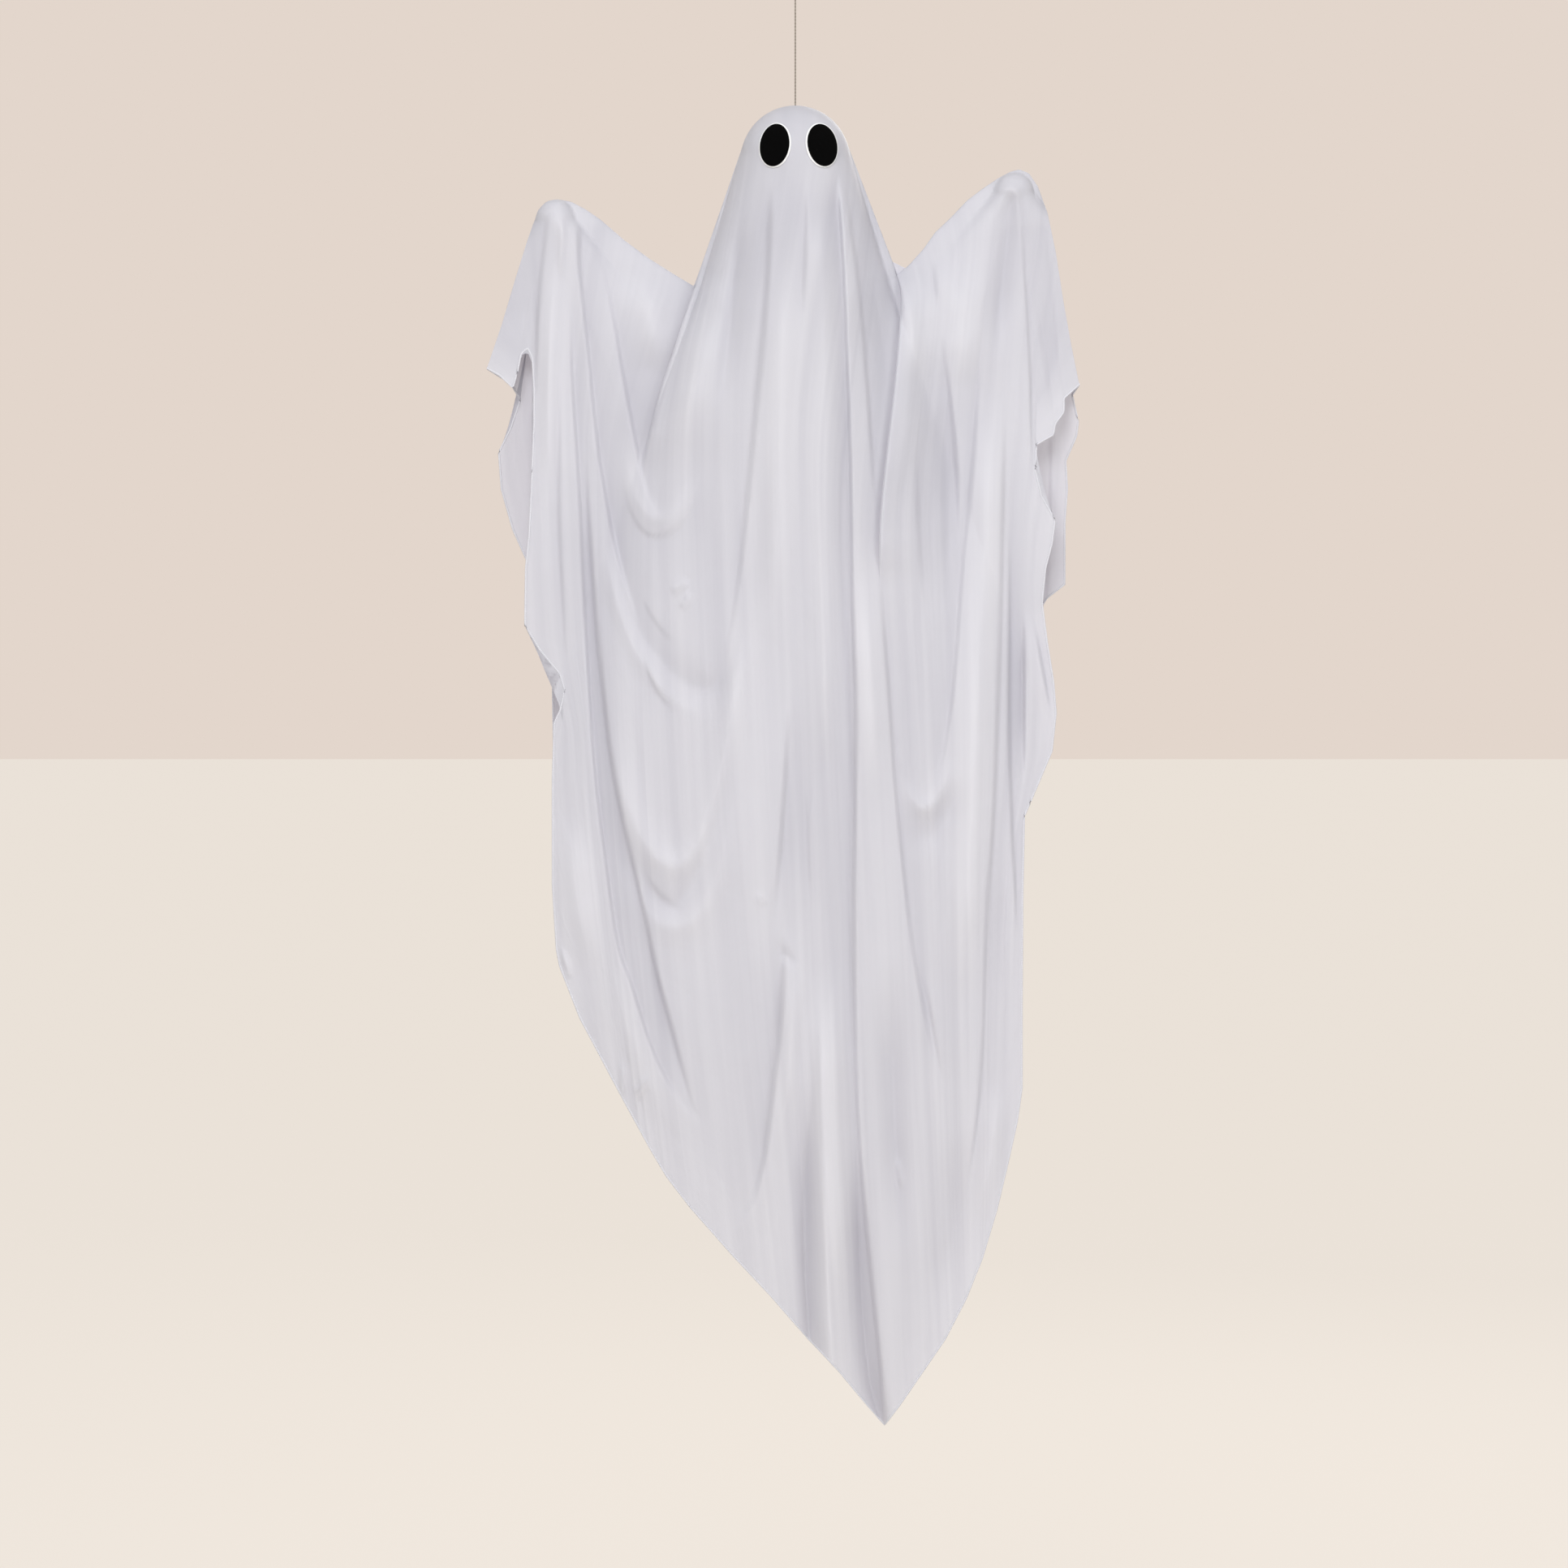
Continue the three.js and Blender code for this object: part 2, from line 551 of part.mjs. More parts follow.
function caseSizes() {
  const front = -(CELL_R + TOUCH + CASE_WALL);
  const cellHalf = (CELL_COUNT - 1) / 2 * CELL_PITCH + CELL_R + 0.6;
  const top = tabEnd();
  const bayEnd = top + CASE_WALL + SWITCH_BAY;
  const cellTop = bayEnd + CASE_WALL;
  const stack = CONTACT_T + CELL_NOSE_T + CELL_LENGTH + SPRING_T + 5 * TOUCH;
  const cellEnd = cellTop + stack;
  const end = cellEnd + CASE_WALL;
  const doorIn = CELL_R + TOUCH;
  const doorOut = doorIn + DOOR_T;
  return { front, cellHalf, top, bayEnd, cellTop, cellEnd, end, doorIn, doorOut, half: cellHalf + RAIL };
}

function addBatteryCase() {
  const c = caseSizes();
  const lip = c.doorOut + TOUCH + CASE_LIP;
  const grooveHalf = c.cellHalf + RAIL / 2;
  const knobSlot = KNOB_WIDTH + SWITCH_TRAVEL + 2 * TOUCH;
  const switchDrop = c.top + CASE_WALL + SWITCH_BAY / 2;
  const shell = join(
    box(-c.half, c.half, c.front, lip, zAt(c.end), zAt(c.top)),
    box(-TAB_HALF, TAB_HALF, -plateInner + TOUCH, -plateInner + TOUCH + TAB_T, zAt(c.top + 1), zAt(c.top - TAB_HEIGHT)),
  );
  add("battery_case", cut(shell,
    box(-c.cellHalf, c.cellHalf, c.front + CASE_WALL, c.doorIn + 1, zAt(c.cellEnd), zAt(c.cellTop)),
    box(-c.cellHalf, c.cellHalf, c.front + CASE_WALL, c.doorIn + 1, zAt(c.bayEnd), zAt(c.top + CASE_WALL)),
    box(-grooveHalf, grooveHalf, c.doorIn, c.doorOut + TOUCH, zAt(c.end + 1), zAt(c.top + CASE_WALL)),
    box(-c.cellHalf + 1, c.cellHalf - 1, c.doorIn, lip + 1, zAt(c.end + 1), zAt(c.top + CASE_WALL + DOOR_SHOULDER)),
    box(-knobSlot / 2, knobSlot / 2, c.front - 1, c.front + CASE_WALL + 1,
      zAt(switchDrop + KNOB_HEIGHT / 2 + TOUCH), zAt(switchDrop - KNOB_HEIGHT / 2 - TOUCH)),
    ...tabScrewSpots().map(([x, drop]) => disc(x, drop, -REACH, REACH, SMALL_SCREW_R + TOUCH, 0, 12)),
  ), whitePlastic);

  const gripEnd = c.end - GRIP_FROM_END;
  const grip = box(-GRIP_HALF, GRIP_HALF, c.doorOut - 0.1, c.doorOut + DOOR_GRIP,
    zAt(gripEnd), zAt(gripEnd - GRIP_WIDTH));
  const doorHalf = grooveHalf - TOUCH;
  add("battery_door", join(
    box(-doorHalf, doorHalf, c.doorIn + TOUCH, c.doorOut, zAt(c.end), zAt(c.top + CASE_WALL + TOUCH)),
    grip,
  ), whitePlastic);

  tabScrewSpots().forEach(([x, drop], i) => {
    add(`case_screw_${i + 1}`, join(
      disc(x, drop, -plateOuter - TOUCH - SMALL_HEAD_T, -plateOuter - TOUCH, SMALL_HEAD_R, 0, 12),
      disc(x, drop, -plateOuter - TOUCH - 0.2, -plateInner + TOUCH + TAB_T + 1.5, SMALL_SCREW_R, 0, 12),
    ), steel);
  });

  const bodyFront = c.front + CASE_WALL + TOUCH;
  add("switch_body", box(-SWITCH_HALF_WIDTH, SWITCH_HALF_WIDTH, bodyFront + KNOB_BASE_T + TOUCH,
    bodyFront + SWITCH_DEPTH, zAt(switchDrop + SWITCH_HALF_HEIGHT), zAt(switchDrop - SWITCH_HALF_HEIGHT)),
  blackPlastic);
  const knobX = -SWITCH_TRAVEL / 2;
  add("switch_slider", join(
    box(knobX - KNOB_WIDTH / 2, knobX + KNOB_WIDTH / 2, c.front - KNOB_OUT, bodyFront + 0.6,
      zAt(switchDrop + KNOB_HEIGHT / 2), zAt(switchDrop - KNOB_HEIGHT / 2)),
    box(knobX - KNOB_WIDTH, knobX + KNOB_WIDTH, bodyFront, bodyFront + KNOB_BASE_T,
      zAt(switchDrop + KNOB_HEIGHT / 2 + 1), zAt(switchDrop - KNOB_HEIGHT / 2 - 1)),
  ), blackPlastic);

  for (let i = 0; i < CELL_COUNT; i++) {
    const x = (i - (CELL_COUNT - 1) / 2) * CELL_PITCH;
    const flip = i % 2;
    const first = c.cellTop + TOUCH;
    const last = c.cellEnd - TOUCH;
    const contact = flip ? [last - CONTACT_T, last] : [first, first + CONTACT_T];
    const spring = flip ? [first, first + SPRING_T] : [last - SPRING_T, last];
    const nose = flip ? contact[0] - TOUCH : contact[1] + TOUCH;
    const way = flip ? -1 : 1;
    const z = (d) => zAt(nose + way * d);
    add(`contact_plate_${i + 1}`, box(x - CONTACT_HALF, x + CONTACT_HALF,
      -CONTACT_HALF, CONTACT_HALF, zAt(contact[1]), zAt(contact[0])), steel);
    add(`cell_${i + 1}`, turned([
      [0, z(0)],
      [CELL_NOSE_R, z(0)],
      [CELL_NOSE_R, z(CELL_NOSE_T)],
      [CELL_R, z(CELL_NOSE_T)],
      [CELL_R, z(CELL_NOSE_T + CELL_LENGTH)],
      [0, z(CELL_NOSE_T + CELL_LENGTH)],
    ], 24).translate(x, 0, 0), cellJacket);
    const wide = flip ? spring[0] : spring[1];
    const narrow = flip ? spring[1] : spring[0];
    add(`contact_spring_${i + 1}`, turned([
      [0, zAt(wide)],
      [SPRING_WIDE_R, zAt(wide)],
      [SPRING_NARROW_R, zAt(narrow)],
      [0, zAt(narrow)],
    ], 16).translate(x, 0, 0), steel);
  }
}

// Two leads from the lamp board, down the neck tube, to the top of the case
function addLeads() {
  const from = zAt(BOARD_DROP + BOARD_T / 2 + TOUCH);
  const to = zAt(caseSizes().top - TOUCH);
  add("lead_red", bar([LEAD_X, LEAD_Y, from], [LEAD_X, LEAD_Y, to], LEAD_R, 8), redLead);
  add("lead_black", bar([-LEAD_X, LEAD_Y, from], [-LEAD_X, LEAD_Y, to], LEAD_R, 8), blackLead);
}

// Sheet: one cloth laid over the head and both hands, built as a middle and two arm panels
// Half width and depth of the cloth's section round the head and below it
const flareSlope = Math.tan(FLARE * RAD);
const sheetMidR = sheetOuterR - SHEET_T / 2;
const leaveDrop = headDrop - sheetMidR * Math.sin(FLARE * RAD);
const leaveX = sheetMidR * Math.cos(FLARE * RAD);
const handTopGap = HAND_R + SHEET_EASE + SHEET_T / 2;

function headHalfWidth(drop) {
  if (drop <= leaveDrop) return Math.sqrt(Math.max(0, sheetMidR ** 2 - (headDrop - drop) ** 2));
  const cone = leaveX + (drop - leaveDrop) * flareSlope;
  return cone + Math.max(0, drop - crestDip(-1).drop) * BODY_SPREAD;
}

function headDepth(drop) {
  if (drop <= headDrop) return Math.sqrt(Math.max(0, sheetMidR ** 2 - (headDrop - drop) ** 2));
  return sheetMidR + BODY_SWELL.gain * (1 - Math.exp(-(drop - headDrop) / BODY_SWELL.over));
}

// Where the cloth coming off the head meets the arm
function crestDip(side) {
  const { rise, run, at } = arms[side < 0 ? 0 : 1];
  const slope = rise / Math.abs(run);
  const [x0, drop0] = at(0, ROD_R + SHEET_EASE + SHEET_T / 2);
  const a0 = Math.abs(x0);
  const x = (leaveX - flareSlope * leaveDrop + flareSlope * (drop0 + slope * a0)) / (1 + flareSlope * slope);
  return { x, drop: drop0 - slope * (x - a0) };
}

// The crest runs head top, side of the head, dip at the arm, hand, then down the cuff
function crestRoute(side) {
  const dip = crestDip(side);
  const hand = arms[side < 0 ? 0 : 1].hand;
  const cuff = side < 0 ? LEFT_CUFF : RIGHT_CUFF;
  const peak = [Math.abs(hand[0]), hand[1] - handTopGap];
  const shoulder = [peak[0] + handTopGap * 0.8, peak[1] + handTopGap * 0.5];
  const lean = cuff.lean * RAD;
  const stops = [
    [leaveX, leaveDrop],
    [dip.x, dip.drop],
    [peak[0] - handTopGap * 0.75, peak[1] + handTopGap * 0.3],
    peak,
    shoulder,
    [peak[0] + cuff.length * Math.sin(lean), peak[1] + cuff.length * Math.cos(lean)],
  ];
  return stops;
}

function crestAt(side, arc) {
  const dome = sheetMidR * (90 - FLARE) * RAD;
  if (arc <= dome) {
    const angle = arc / sheetMidR;
    return [side * sheetMidR * Math.sin(angle), headDrop - sheetMidR * Math.cos(angle)];
  }
  const stops = crestRoute(side);
  let left = arc - dome;
  for (let i = 1; i < stops.length; i++) {
    const [a, b] = [stops[i - 1], stops[i]];
    const length = Math.hypot(b[0] - a[0], b[1] - a[1]);
    if (left <= length || i === stops.length - 1) {
      const t = Math.min(1, left / length);
      return [side * (a[0] + (b[0] - a[0]) * t), a[1] + (b[1] - a[1]) * t];
    }
    left -= length;
  }
  return null;
}

// Arcs along the crest at which the panel's columns start, with one on each stop of the route
function panelArcs(side) {
  const stops = crestRoute(side);
  const marks = [SEAM_ARC];
  let arc = sheetMidR * (90 - FLARE) * RAD;
  const arcs = [];
  for (let i = 1; i < stops.length; i++) {
    arc += Math.hypot(stops[i][0] - stops[i - 1][0], stops[i][1] - stops[i - 1][1]);
    marks.push(arc);
    for (let k = 0; k < PANEL_CELLS[i]; k++) {
      arcs.push(marks[i - 1] + (marks[i] - marks[i - 1]) * k / PANEL_CELLS[i]);
    }
  }
  arcs.push(arc);
  return arcs;
}

// Lower hem of the front, from the left corner by the tip to the right corner
const HEM = [
  LEFT_CORNER,
  [-158, 901],
  [-117, 975],
  [-57, 1049],
  [13, 1122],
  FRONT_TIP,
  [136, 1122],
  [170, 1049],
  [190, 975],
  RIGHT_CORNER,
];

function along(points, value, from, to) {
  const last = points.length - 1;
  let i = 1;
  while (i < last && value > points[i][from]) i++;
  const [a, b] = [points[i - 1], points[i]];
  const t = (value - a[from]) / (b[from] - a[from]);
  return a[to] + (b[to] - a[to]) * Math.min(1, Math.max(0, t));
}

// Side hems below the cuffs fall in flutes: x against drop
const LEFT_FLUTES = [[-281, 239], [-243, 264], [-270, 314], [-246, 414], [-245, 473], [-219, 520], [-221, 650],
  LEFT_CORNER];
const RIGHT_FLUTES = [[258, 251], [257, 292], [246, 362], [245, 434], [228, 452], [236, 569], [209, 646],
  RIGHT_CORNER];

// Main folds of the front: a ridge or hollow along a path of x and drop, with its height and half width
const FOLDS = [
  { path: [[-50, 64], [-84, 160], [-140, 330], [-104, 500]], height: 14, width: 15 },
  { path: [[-112, 190], [-165, 420], [-120, 560]], height: -9, width: 15 },
  { path: [[-207, 110], [-176, 380], [-133, 600], [-70, 800]], height: 12, width: 17 },
  { path: [[-208, 240], [-198, 620], [-196, 900]], height: 8, width: 13 },
  { path: [[-158, 500], [-120, 760], [-62, 1010]], height: -9, width: 20 },
  { path: [[-130, 640], [-100, 900], [-30, 1150]], height: 10, width: 20 },
  { path: [[-16, 62], [-26, 400], [-14, 760]], height: 6, width: 9 },
  { path: [[6, 62], [4, 500], [-6, 1060]], height: -7, width: 11 },
  { path: [[34, 62], [44, 400], [58, 800], [76, 1300]], height: 9, width: 12 },
  { path: [[88, 160], [78, 420], [112, 680]], height: 14, width: 14 },
  { path: [[64, 200], [60, 460], [84, 640]], height: -8, width: 12 },
  { path: [[190, 90], [178, 480], [122, 920]], height: 12, width: 16 },
  { path: [[146, 160], [136, 420], [112, 760]], height: -8, width: 15 },
  { path: [[198, 380], [194, 700], [180, 1100]], height: 8, width: 13 },
];

function foldHeight(x, drop) {
  let sum = 0;
  for (const { path, height, width } of FOLDS) {
    const fade = Math.min(1, (drop - path[0][1]) / FOLD_FADE, (path.at(-1)[1] - drop) / FOLD_FADE);
    if (fade <= 0) continue;
    const off = (x - along(path, drop, 1, 0)) / width;
    sum += height * fade * Math.exp(-off * off);
  }
  return sum;
}

// How far in front of, or behind, the arms' plane the cloth hangs
function clothDepth(x, drop, fall, back) {
  const half = headHalfWidth(drop);
  const lens = headDepth(drop) * Math.sqrt(Math.max(0, 1 - (x / half) ** 2));
  const flat = FACE_FLAT.start + FACE_FLAT.gain * (1 - Math.exp(-fall / FACE_FLAT.over));
  const room = Math.min(1, fall / FOLD_FALL);
  const fold = back
    ? foldHeight(x * BACK_FOLD.shift, drop) * room * BACK_FOLD.height
    : foldHeight(x, drop) * room;
  const shape = Math.hypot(lens, flat * Math.min(1, fall / 25)) + fold;
  return Math.max(shape, Math.min(4, fall * 0.3));
}

// One layer's point: column given by its crest and hem ends, row by its share of the way down
function clothPoint(column, share, back) {
  const [x0, drop0] = column.crest;
  const [x1, hemDrop] = column.hem;
  const drop1 = back ? drop0 + (hemDrop - drop0) * BACK_SHARE : hemDrop;
  const drop = drop0 + (drop1 - drop0) * share;
  let x = x0 + (x1 - x0) * share;
  if (column.flutes) x += (along(column.flutes, drop, 1, 0) - x) * column.edge ** 2 * Math.min(1, share * 12);
  const y = clothDepth(x, drop, drop - drop0, back);
  return [x, back ? y : -y, zAt(drop)];
}

// Shares of the way down: fine over the dome, then longer steps
function rowShares() {
  const seamDrop = crestAt(1, SEAM_ARC)[1];
  const full = along(HEM, SEAM_SPREAD, 0, 1) - seamDrop;
  const shares = [];
  for (let k = 1; k <= DOME_ROWS; k++) {
    shares.push(sheetMidR * (1 - Math.cos(k * Math.PI / 2 / DOME_ROWS)) / full);
  }
  const last = shares.at(-1);
  for (let k = 1; k <= HANG_ROWS; k++) {
    shares.push(last + (1 - last) * (k / HANG_ROWS) ** ROW_GROWTH);
  }
  return shares;
}

function clothRows(columns) {
  const shares = rowShares();
  const rows = [];
  for (const share of [...shares].reverse()) rows.push(columns.map((c) => clothPoint(c, share, true)));
  rows.push(columns.map((c) => [c.crest[0], 0, zAt(c.crest[1])]));
  for (const share of shares) rows.push(columns.map((c) => clothPoint(c, share, false)));
  return rows.map((row) => row.map((p) => new THREE.Vector3(...p)));
}

// What the cloth lies on: balls and rods that its facets are pushed clear of
function supports() {
  const head = { a: new THREE.Vector3(0, 0, zAt(headDrop)), b: new THREE.Vector3(0, 0, zAt(headDrop)), r: GLOBE_R };
  const limbs = arms.flatMap(({ at, hand }) => {
    const end = new THREE.Vector3(hand[0], 0, zAt(hand[1]));
    const start = at(SLEEVE_REACH);
    return [
      { a: end, b: end, r: HAND_R },
      { a: new THREE.Vector3(start[0], 0, zAt(start[1])), b: end, r: ROD_R },
    ];
  });
  return [head, ...limbs];
}

function pushClear(rows) {
  const line = new THREE.Line3();
  const near = new THREE.Vector3();
  const spot = new THREE.Vector3();
  const solids = supports();
  for (let pass = 0; pass < 60; pass++) {
    let moved = false;
    for (let j = 0; j + 1 < rows.length; j++) {
      for (let i = 0; i + 1 < rows[0].length; i++) {
        const [a, b, c, d] = [rows[j][i], rows[j][i + 1], rows[j + 1][i], rows[j + 1][i + 1]];
        for (const corners of [[a, b, d], [a, d, c], [a, d], [a, b], [a, c], [a], [b], [c], [d]]) {
          spot.set(0, 0, 0);
          for (const p of corners) spot.addScaledVector(p, 1 / corners.length);
          for (const { a: from, b: to, r } of solids) {
            if (from.equals(to)) near.copy(from);
            else line.set(from, to).closestPointToPoint(spot, true, near);
            const short = r + TOUCH + SHEET_T / 2 + FACET_ROOM - spot.distanceTo(near);
            if (short <= 0.01) continue;
            const push = spot.clone().sub(near).normalize().multiplyScalar(short);
            for (const p of corners) p.add(push);
            moved = true;
          }
        }
      }
    }
    if (!moved) break;
  }
}

// A thin shell of even thickness over columns first to last; cut edges stand back by half the touching gap
function thinShell(rows, first, last) {
  const m = last - first + 1;
  const n = rows.length;
  const at = (j, i) => rows[Math.min(n - 1, Math.max(0, j))][Math.min(rows[0].length - 1, Math.max(0, i))];
  const points = [];
  for (const face of [1, -1]) {
    for (let j = 0; j < n; j++) {
      for (let i = first; i <= last; i++) {
        const across = at(j, i + 1).clone().sub(at(j, i - 1)).normalize();
        const down = at(j + 1, i).clone().sub(at(j - 1, i)).normalize();
        const normal = down.cross(across).normalize().multiplyScalar(face * SHEET_T / 2);
        const back = i === first && i > 0 ? TOUCH / 2 : i === last && i + 1 < rows[0].length ? -TOUCH / 2 : 0;
        points.push(...at(j, i).clone().add(normal).addScaledVector(across, back).toArray());
      }
    }
  }
  const inner = n * m;
  const faces = [];
  const quad = (a, b, c, d) => faces.push(a, b, c, a, c, d);
  for (let j = 0; j + 1 < n; j++) {
    for (let i = 0; i + 1 < m; i++) {
      const a = j * m + i;
      quad(a, a + m, a + m + 1, a + 1);
      quad(inner + a, inner + a + 1, inner + a + m + 1, inner + a + m);
    }
  }
  for (let i = 0; i + 1 < m; i++) {
    const top = i;
    const end = (n - 1) * m + i;
    quad(top, top + 1, inner + top + 1, inner + top);
    quad(end, inner + end, inner + end + 1, end + 1);
  }
  for (let j = 0; j + 1 < n; j++) {
    const near = j * m;
    const far = j * m + m - 1;
    quad(near, inner + near, inner + near + m, near + m);
    quad(far, far + m, inner + far + m, inner + far);
  }
  const geometry = new THREE.BufferGeometry();
  geometry.setAttribute("position", new THREE.BufferAttribute(new Float32Array(points), 3));
  geometry.setIndex(faces);
  return closed(geometry);
}

function addSheet() {
  const half = BODY_COLUMNS / 2;
  const tipColumn = half + 4;
  const middle = Array.from({ length: BODY_COLUMNS + 1 }, (_, i) => {
    const share = (i - half) / half;
    const hemX = i <= tipColumn
      ? -SEAM_SPREAD + (FRONT_TIP[0] + SEAM_SPREAD) * i / tipColumn
      : FRONT_TIP[0] + (SEAM_SPREAD - FRONT_TIP[0]) * (i - tipColumn) / (BODY_COLUMNS - tipColumn);
    return { crest: crestAt(Math.sign(share) || 1, Math.abs(share) * SEAM_ARC), hem: [hemX, along(HEM, hemX, 0, 1)] };
  });
  const [left, right] = arms.map(({ side }) => {
    const arcs = panelArcs(side);
    const corner = side < 0 ? LEFT_CORNER : RIGHT_CORNER;
    return arcs.map((arc, i) => {
      const across = i / (arcs.length - 1);
      const hemX = side * SEAM_SPREAD + (corner[0] - side * SEAM_SPREAD) * across;
      const flutes = side < 0 ? LEFT_FLUTES : RIGHT_FLUTES;
      return { crest: crestAt(side, arc), hem: [hemX, along(HEM, hemX, 0, 1)], flutes, edge: across };
    }).slice(1);
  });
  const rows = clothRows([...left.reverse(), ...middle, ...right]);
  pushClear(rows);
  const leftSeam = left.length;
  const rightSeam = leftSeam + BODY_COLUMNS;
  add("sheet_body", cut(thinShell(rows, leftSeam, rightSeam),
    bar([0, 0, zAt(-5)], [0, 0, zAt(12)], CORD_D / 2 + TOUCH, 12)), satin);
  add("sleeve_left", thinShell(rows, 0, leftSeam), satin);
  add("sleeve_right", thinShell(rows, rightSeam, rows[0].length - 1), satin);
}

// A point of the head's front, raised off the cloth's middle by a set height
function onFace(x, drop, height) {
  const depth = (px, pd) => {
    const crestDrop = headDrop - Math.sqrt(Math.max(0, sheetMidR ** 2 - px * px));
    return clothDepth(px, pd, pd - crestDrop, false);
  };
  const step = 0.5;
  const slopeX = (depth(x + step, drop) - depth(x - step, drop)) / (2 * step);
  const slopeZ = -(depth(x, drop + step) - depth(x, drop - step)) / (2 * step);
  const normal = new THREE.Vector3(-slopeX, -1, -slopeZ).normalize();
  return new THREE.Vector3(x, -depth(x, drop), zAt(drop)).addScaledVector(normal, height);
}

// Eyes: a black felt oval on a slightly larger white one, both following the head's curve
function eyeShell(eye, halfWidth, halfHeight, inner, thickness) {
  const rings = 3;
  const sides = 24;
  const lean = eye.lean * RAD;
  const onHead = (u, v, height) => {
    const x = eye.x + u * Math.cos(lean) + v * Math.sin(lean);
    return onFace(x, eye.drop + u * Math.sin(lean) - v * Math.cos(lean), height);
  };
  const points = [];
  for (const height of [inner + thickness, inner]) {
    points.push(onHead(0, 0, height));
    for (let ring = 1; ring <= rings; ring++) {
      for (let k = 0; k < sides; k++) {
        const angle = k / sides * 2 * Math.PI;
        const reach = ring / rings;
        points.push(onHead(halfWidth * reach * Math.cos(angle), halfHeight * reach * Math.sin(angle), height));
      }
    }
  }
  const layer = 1 + rings * sides;
  const faces = [];
  for (let face = 0; face < 2; face++) {
    const base = face * layer;
    const put = (a, b, c) => (face ? faces.push(a, c, b) : faces.push(a, b, c));
    for (let k = 0; k < sides; k++) {
      const next = (k + 1) % sides;
      put(base, base + 1 + k, base + 1 + next);
      for (let ring = 0; ring + 1 < rings; ring++) {
        const a = base + 1 + ring * sides;
        put(a + k, a + sides + k, a + sides + next);
        put(a + k, a + sides + next, a + next);
      }
    }
  }
  const rim = 1 + (rings - 1) * sides;
  for (let k = 0; k < sides; k++) {
    const next = (k + 1) % sides;
    faces.push(rim + k, rim + layer + k, rim + layer + next, rim + k, rim + layer + next, rim + next);
  }
  const geometry = new THREE.BufferGeometry();
  geometry.setAttribute("position", new THREE.BufferAttribute(new Float32Array(points.flatMap((p) => p.toArray())), 3));
  geometry.setIndex(faces);
  return closed(geometry);
}

function addEyes() {
  for (const [name, eye] of [["left", LEFT_EYE], ["right", RIGHT_EYE]]) {
    const backing = SHEET_T / 2 + TOUCH + EYE_BOW;
    const patch = backing + EYE_T + TOUCH;
    add(`eye_${name}_border`, eyeShell(eye, EYE_HALF_WIDTH + EYE_BORDER, EYE_HALF_HEIGHT + EYE_BORDER, backing, EYE_T),
      whiteFelt);
    add(`eye_${name}`, eyeShell(eye, EYE_HALF_WIDTH, EYE_HALF_HEIGHT, patch, EYE_T), blackFelt);
  }
}

addSheet();
addEyes();
addCord();
addHead();
addLamps();
addNeck();
addHub();
addArms();
addBatteryCase();
addLeads();

export default ghost;
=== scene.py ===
import math
import bpy
import numpy as np
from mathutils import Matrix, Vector
from mathutils.bvhtree import BVHTree


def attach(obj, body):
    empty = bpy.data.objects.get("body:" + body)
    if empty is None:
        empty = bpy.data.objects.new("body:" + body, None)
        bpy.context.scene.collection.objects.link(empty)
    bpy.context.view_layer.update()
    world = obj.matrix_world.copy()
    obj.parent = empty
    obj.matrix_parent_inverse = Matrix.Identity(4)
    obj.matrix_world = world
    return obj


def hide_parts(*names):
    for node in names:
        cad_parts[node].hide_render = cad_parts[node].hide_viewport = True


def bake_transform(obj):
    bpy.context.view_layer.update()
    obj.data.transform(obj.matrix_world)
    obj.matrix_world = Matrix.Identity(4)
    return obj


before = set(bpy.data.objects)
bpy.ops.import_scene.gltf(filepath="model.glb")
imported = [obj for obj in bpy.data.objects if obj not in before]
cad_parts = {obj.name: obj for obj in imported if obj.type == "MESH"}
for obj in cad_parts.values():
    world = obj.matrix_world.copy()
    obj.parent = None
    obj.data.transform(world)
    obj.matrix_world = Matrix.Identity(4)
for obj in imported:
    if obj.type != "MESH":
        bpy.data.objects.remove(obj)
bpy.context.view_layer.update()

# Camera
# The picture is square and looks straight at the figure from 3 m away. The horizon sits a little above its
# middle, so the lens is shifted down instead of being tilted.
CAMERA_DISTANCE = 3.0
PICTURE_WIDTH = 1.427  # metres across, at the figure
HORIZON_Z = -0.741
PICTURE_MIDDLE = (-0.0103, -0.767)
SENSOR = 36.0

camera_data = bpy.data.cameras.new("camera")
camera_data.sensor_width = SENSOR
camera_data.lens = SENSOR * CAMERA_DISTANCE / PICTURE_WIDTH
camera_data.shift_y = (PICTURE_MIDDLE[1] - HORIZON_Z) / PICTURE_WIDTH
camera = bpy.data.objects.new("camera", camera_data)
camera.location = (PICTURE_MIDDLE[0], -CAMERA_DISTANCE, HORIZON_Z)
camera.rotation_euler = (math.pi / 2, 0, 0)
bpy.context.scene.collection.objects.link(camera)
bpy.context.scene.camera = camera
bpy.context.scene.view_settings.view_transform = "Standard"


# Hanging thread
# Two-ply polyester thread, 1.5 mm thick, knotted under a washer inside the globe. It leaves through the top
# of the sheet and ends in a steel crimp that closes a hanging loop, just above the picture.
def linear(colour):
    parts = [int(colour[i:i + 2], 16) / 255 for i in (1, 3, 5)]
    return [p / 12.92 if p <= 0.04045 else ((p + 0.055) / 1.055) ** 2.4 for p in parts] + [1.0]


def add_node(tree, kind, inputs=None, **settings):
    """Adds a node. An input is a value, a socket, or a node, which stands for its first output."""
    node = tree.nodes.new("ShaderNode" + kind)
    for name, value in settings.items():
        setattr(node, name, value)
    for socket, value in (inputs or {}).items():
        if isinstance(value, bpy.types.Node):
            value = value.outputs[0]
        if isinstance(value, bpy.types.NodeSocket):
            tree.links.new(value, node.inputs[socket])
        else:
            node.inputs[socket].default_value = value
    return node


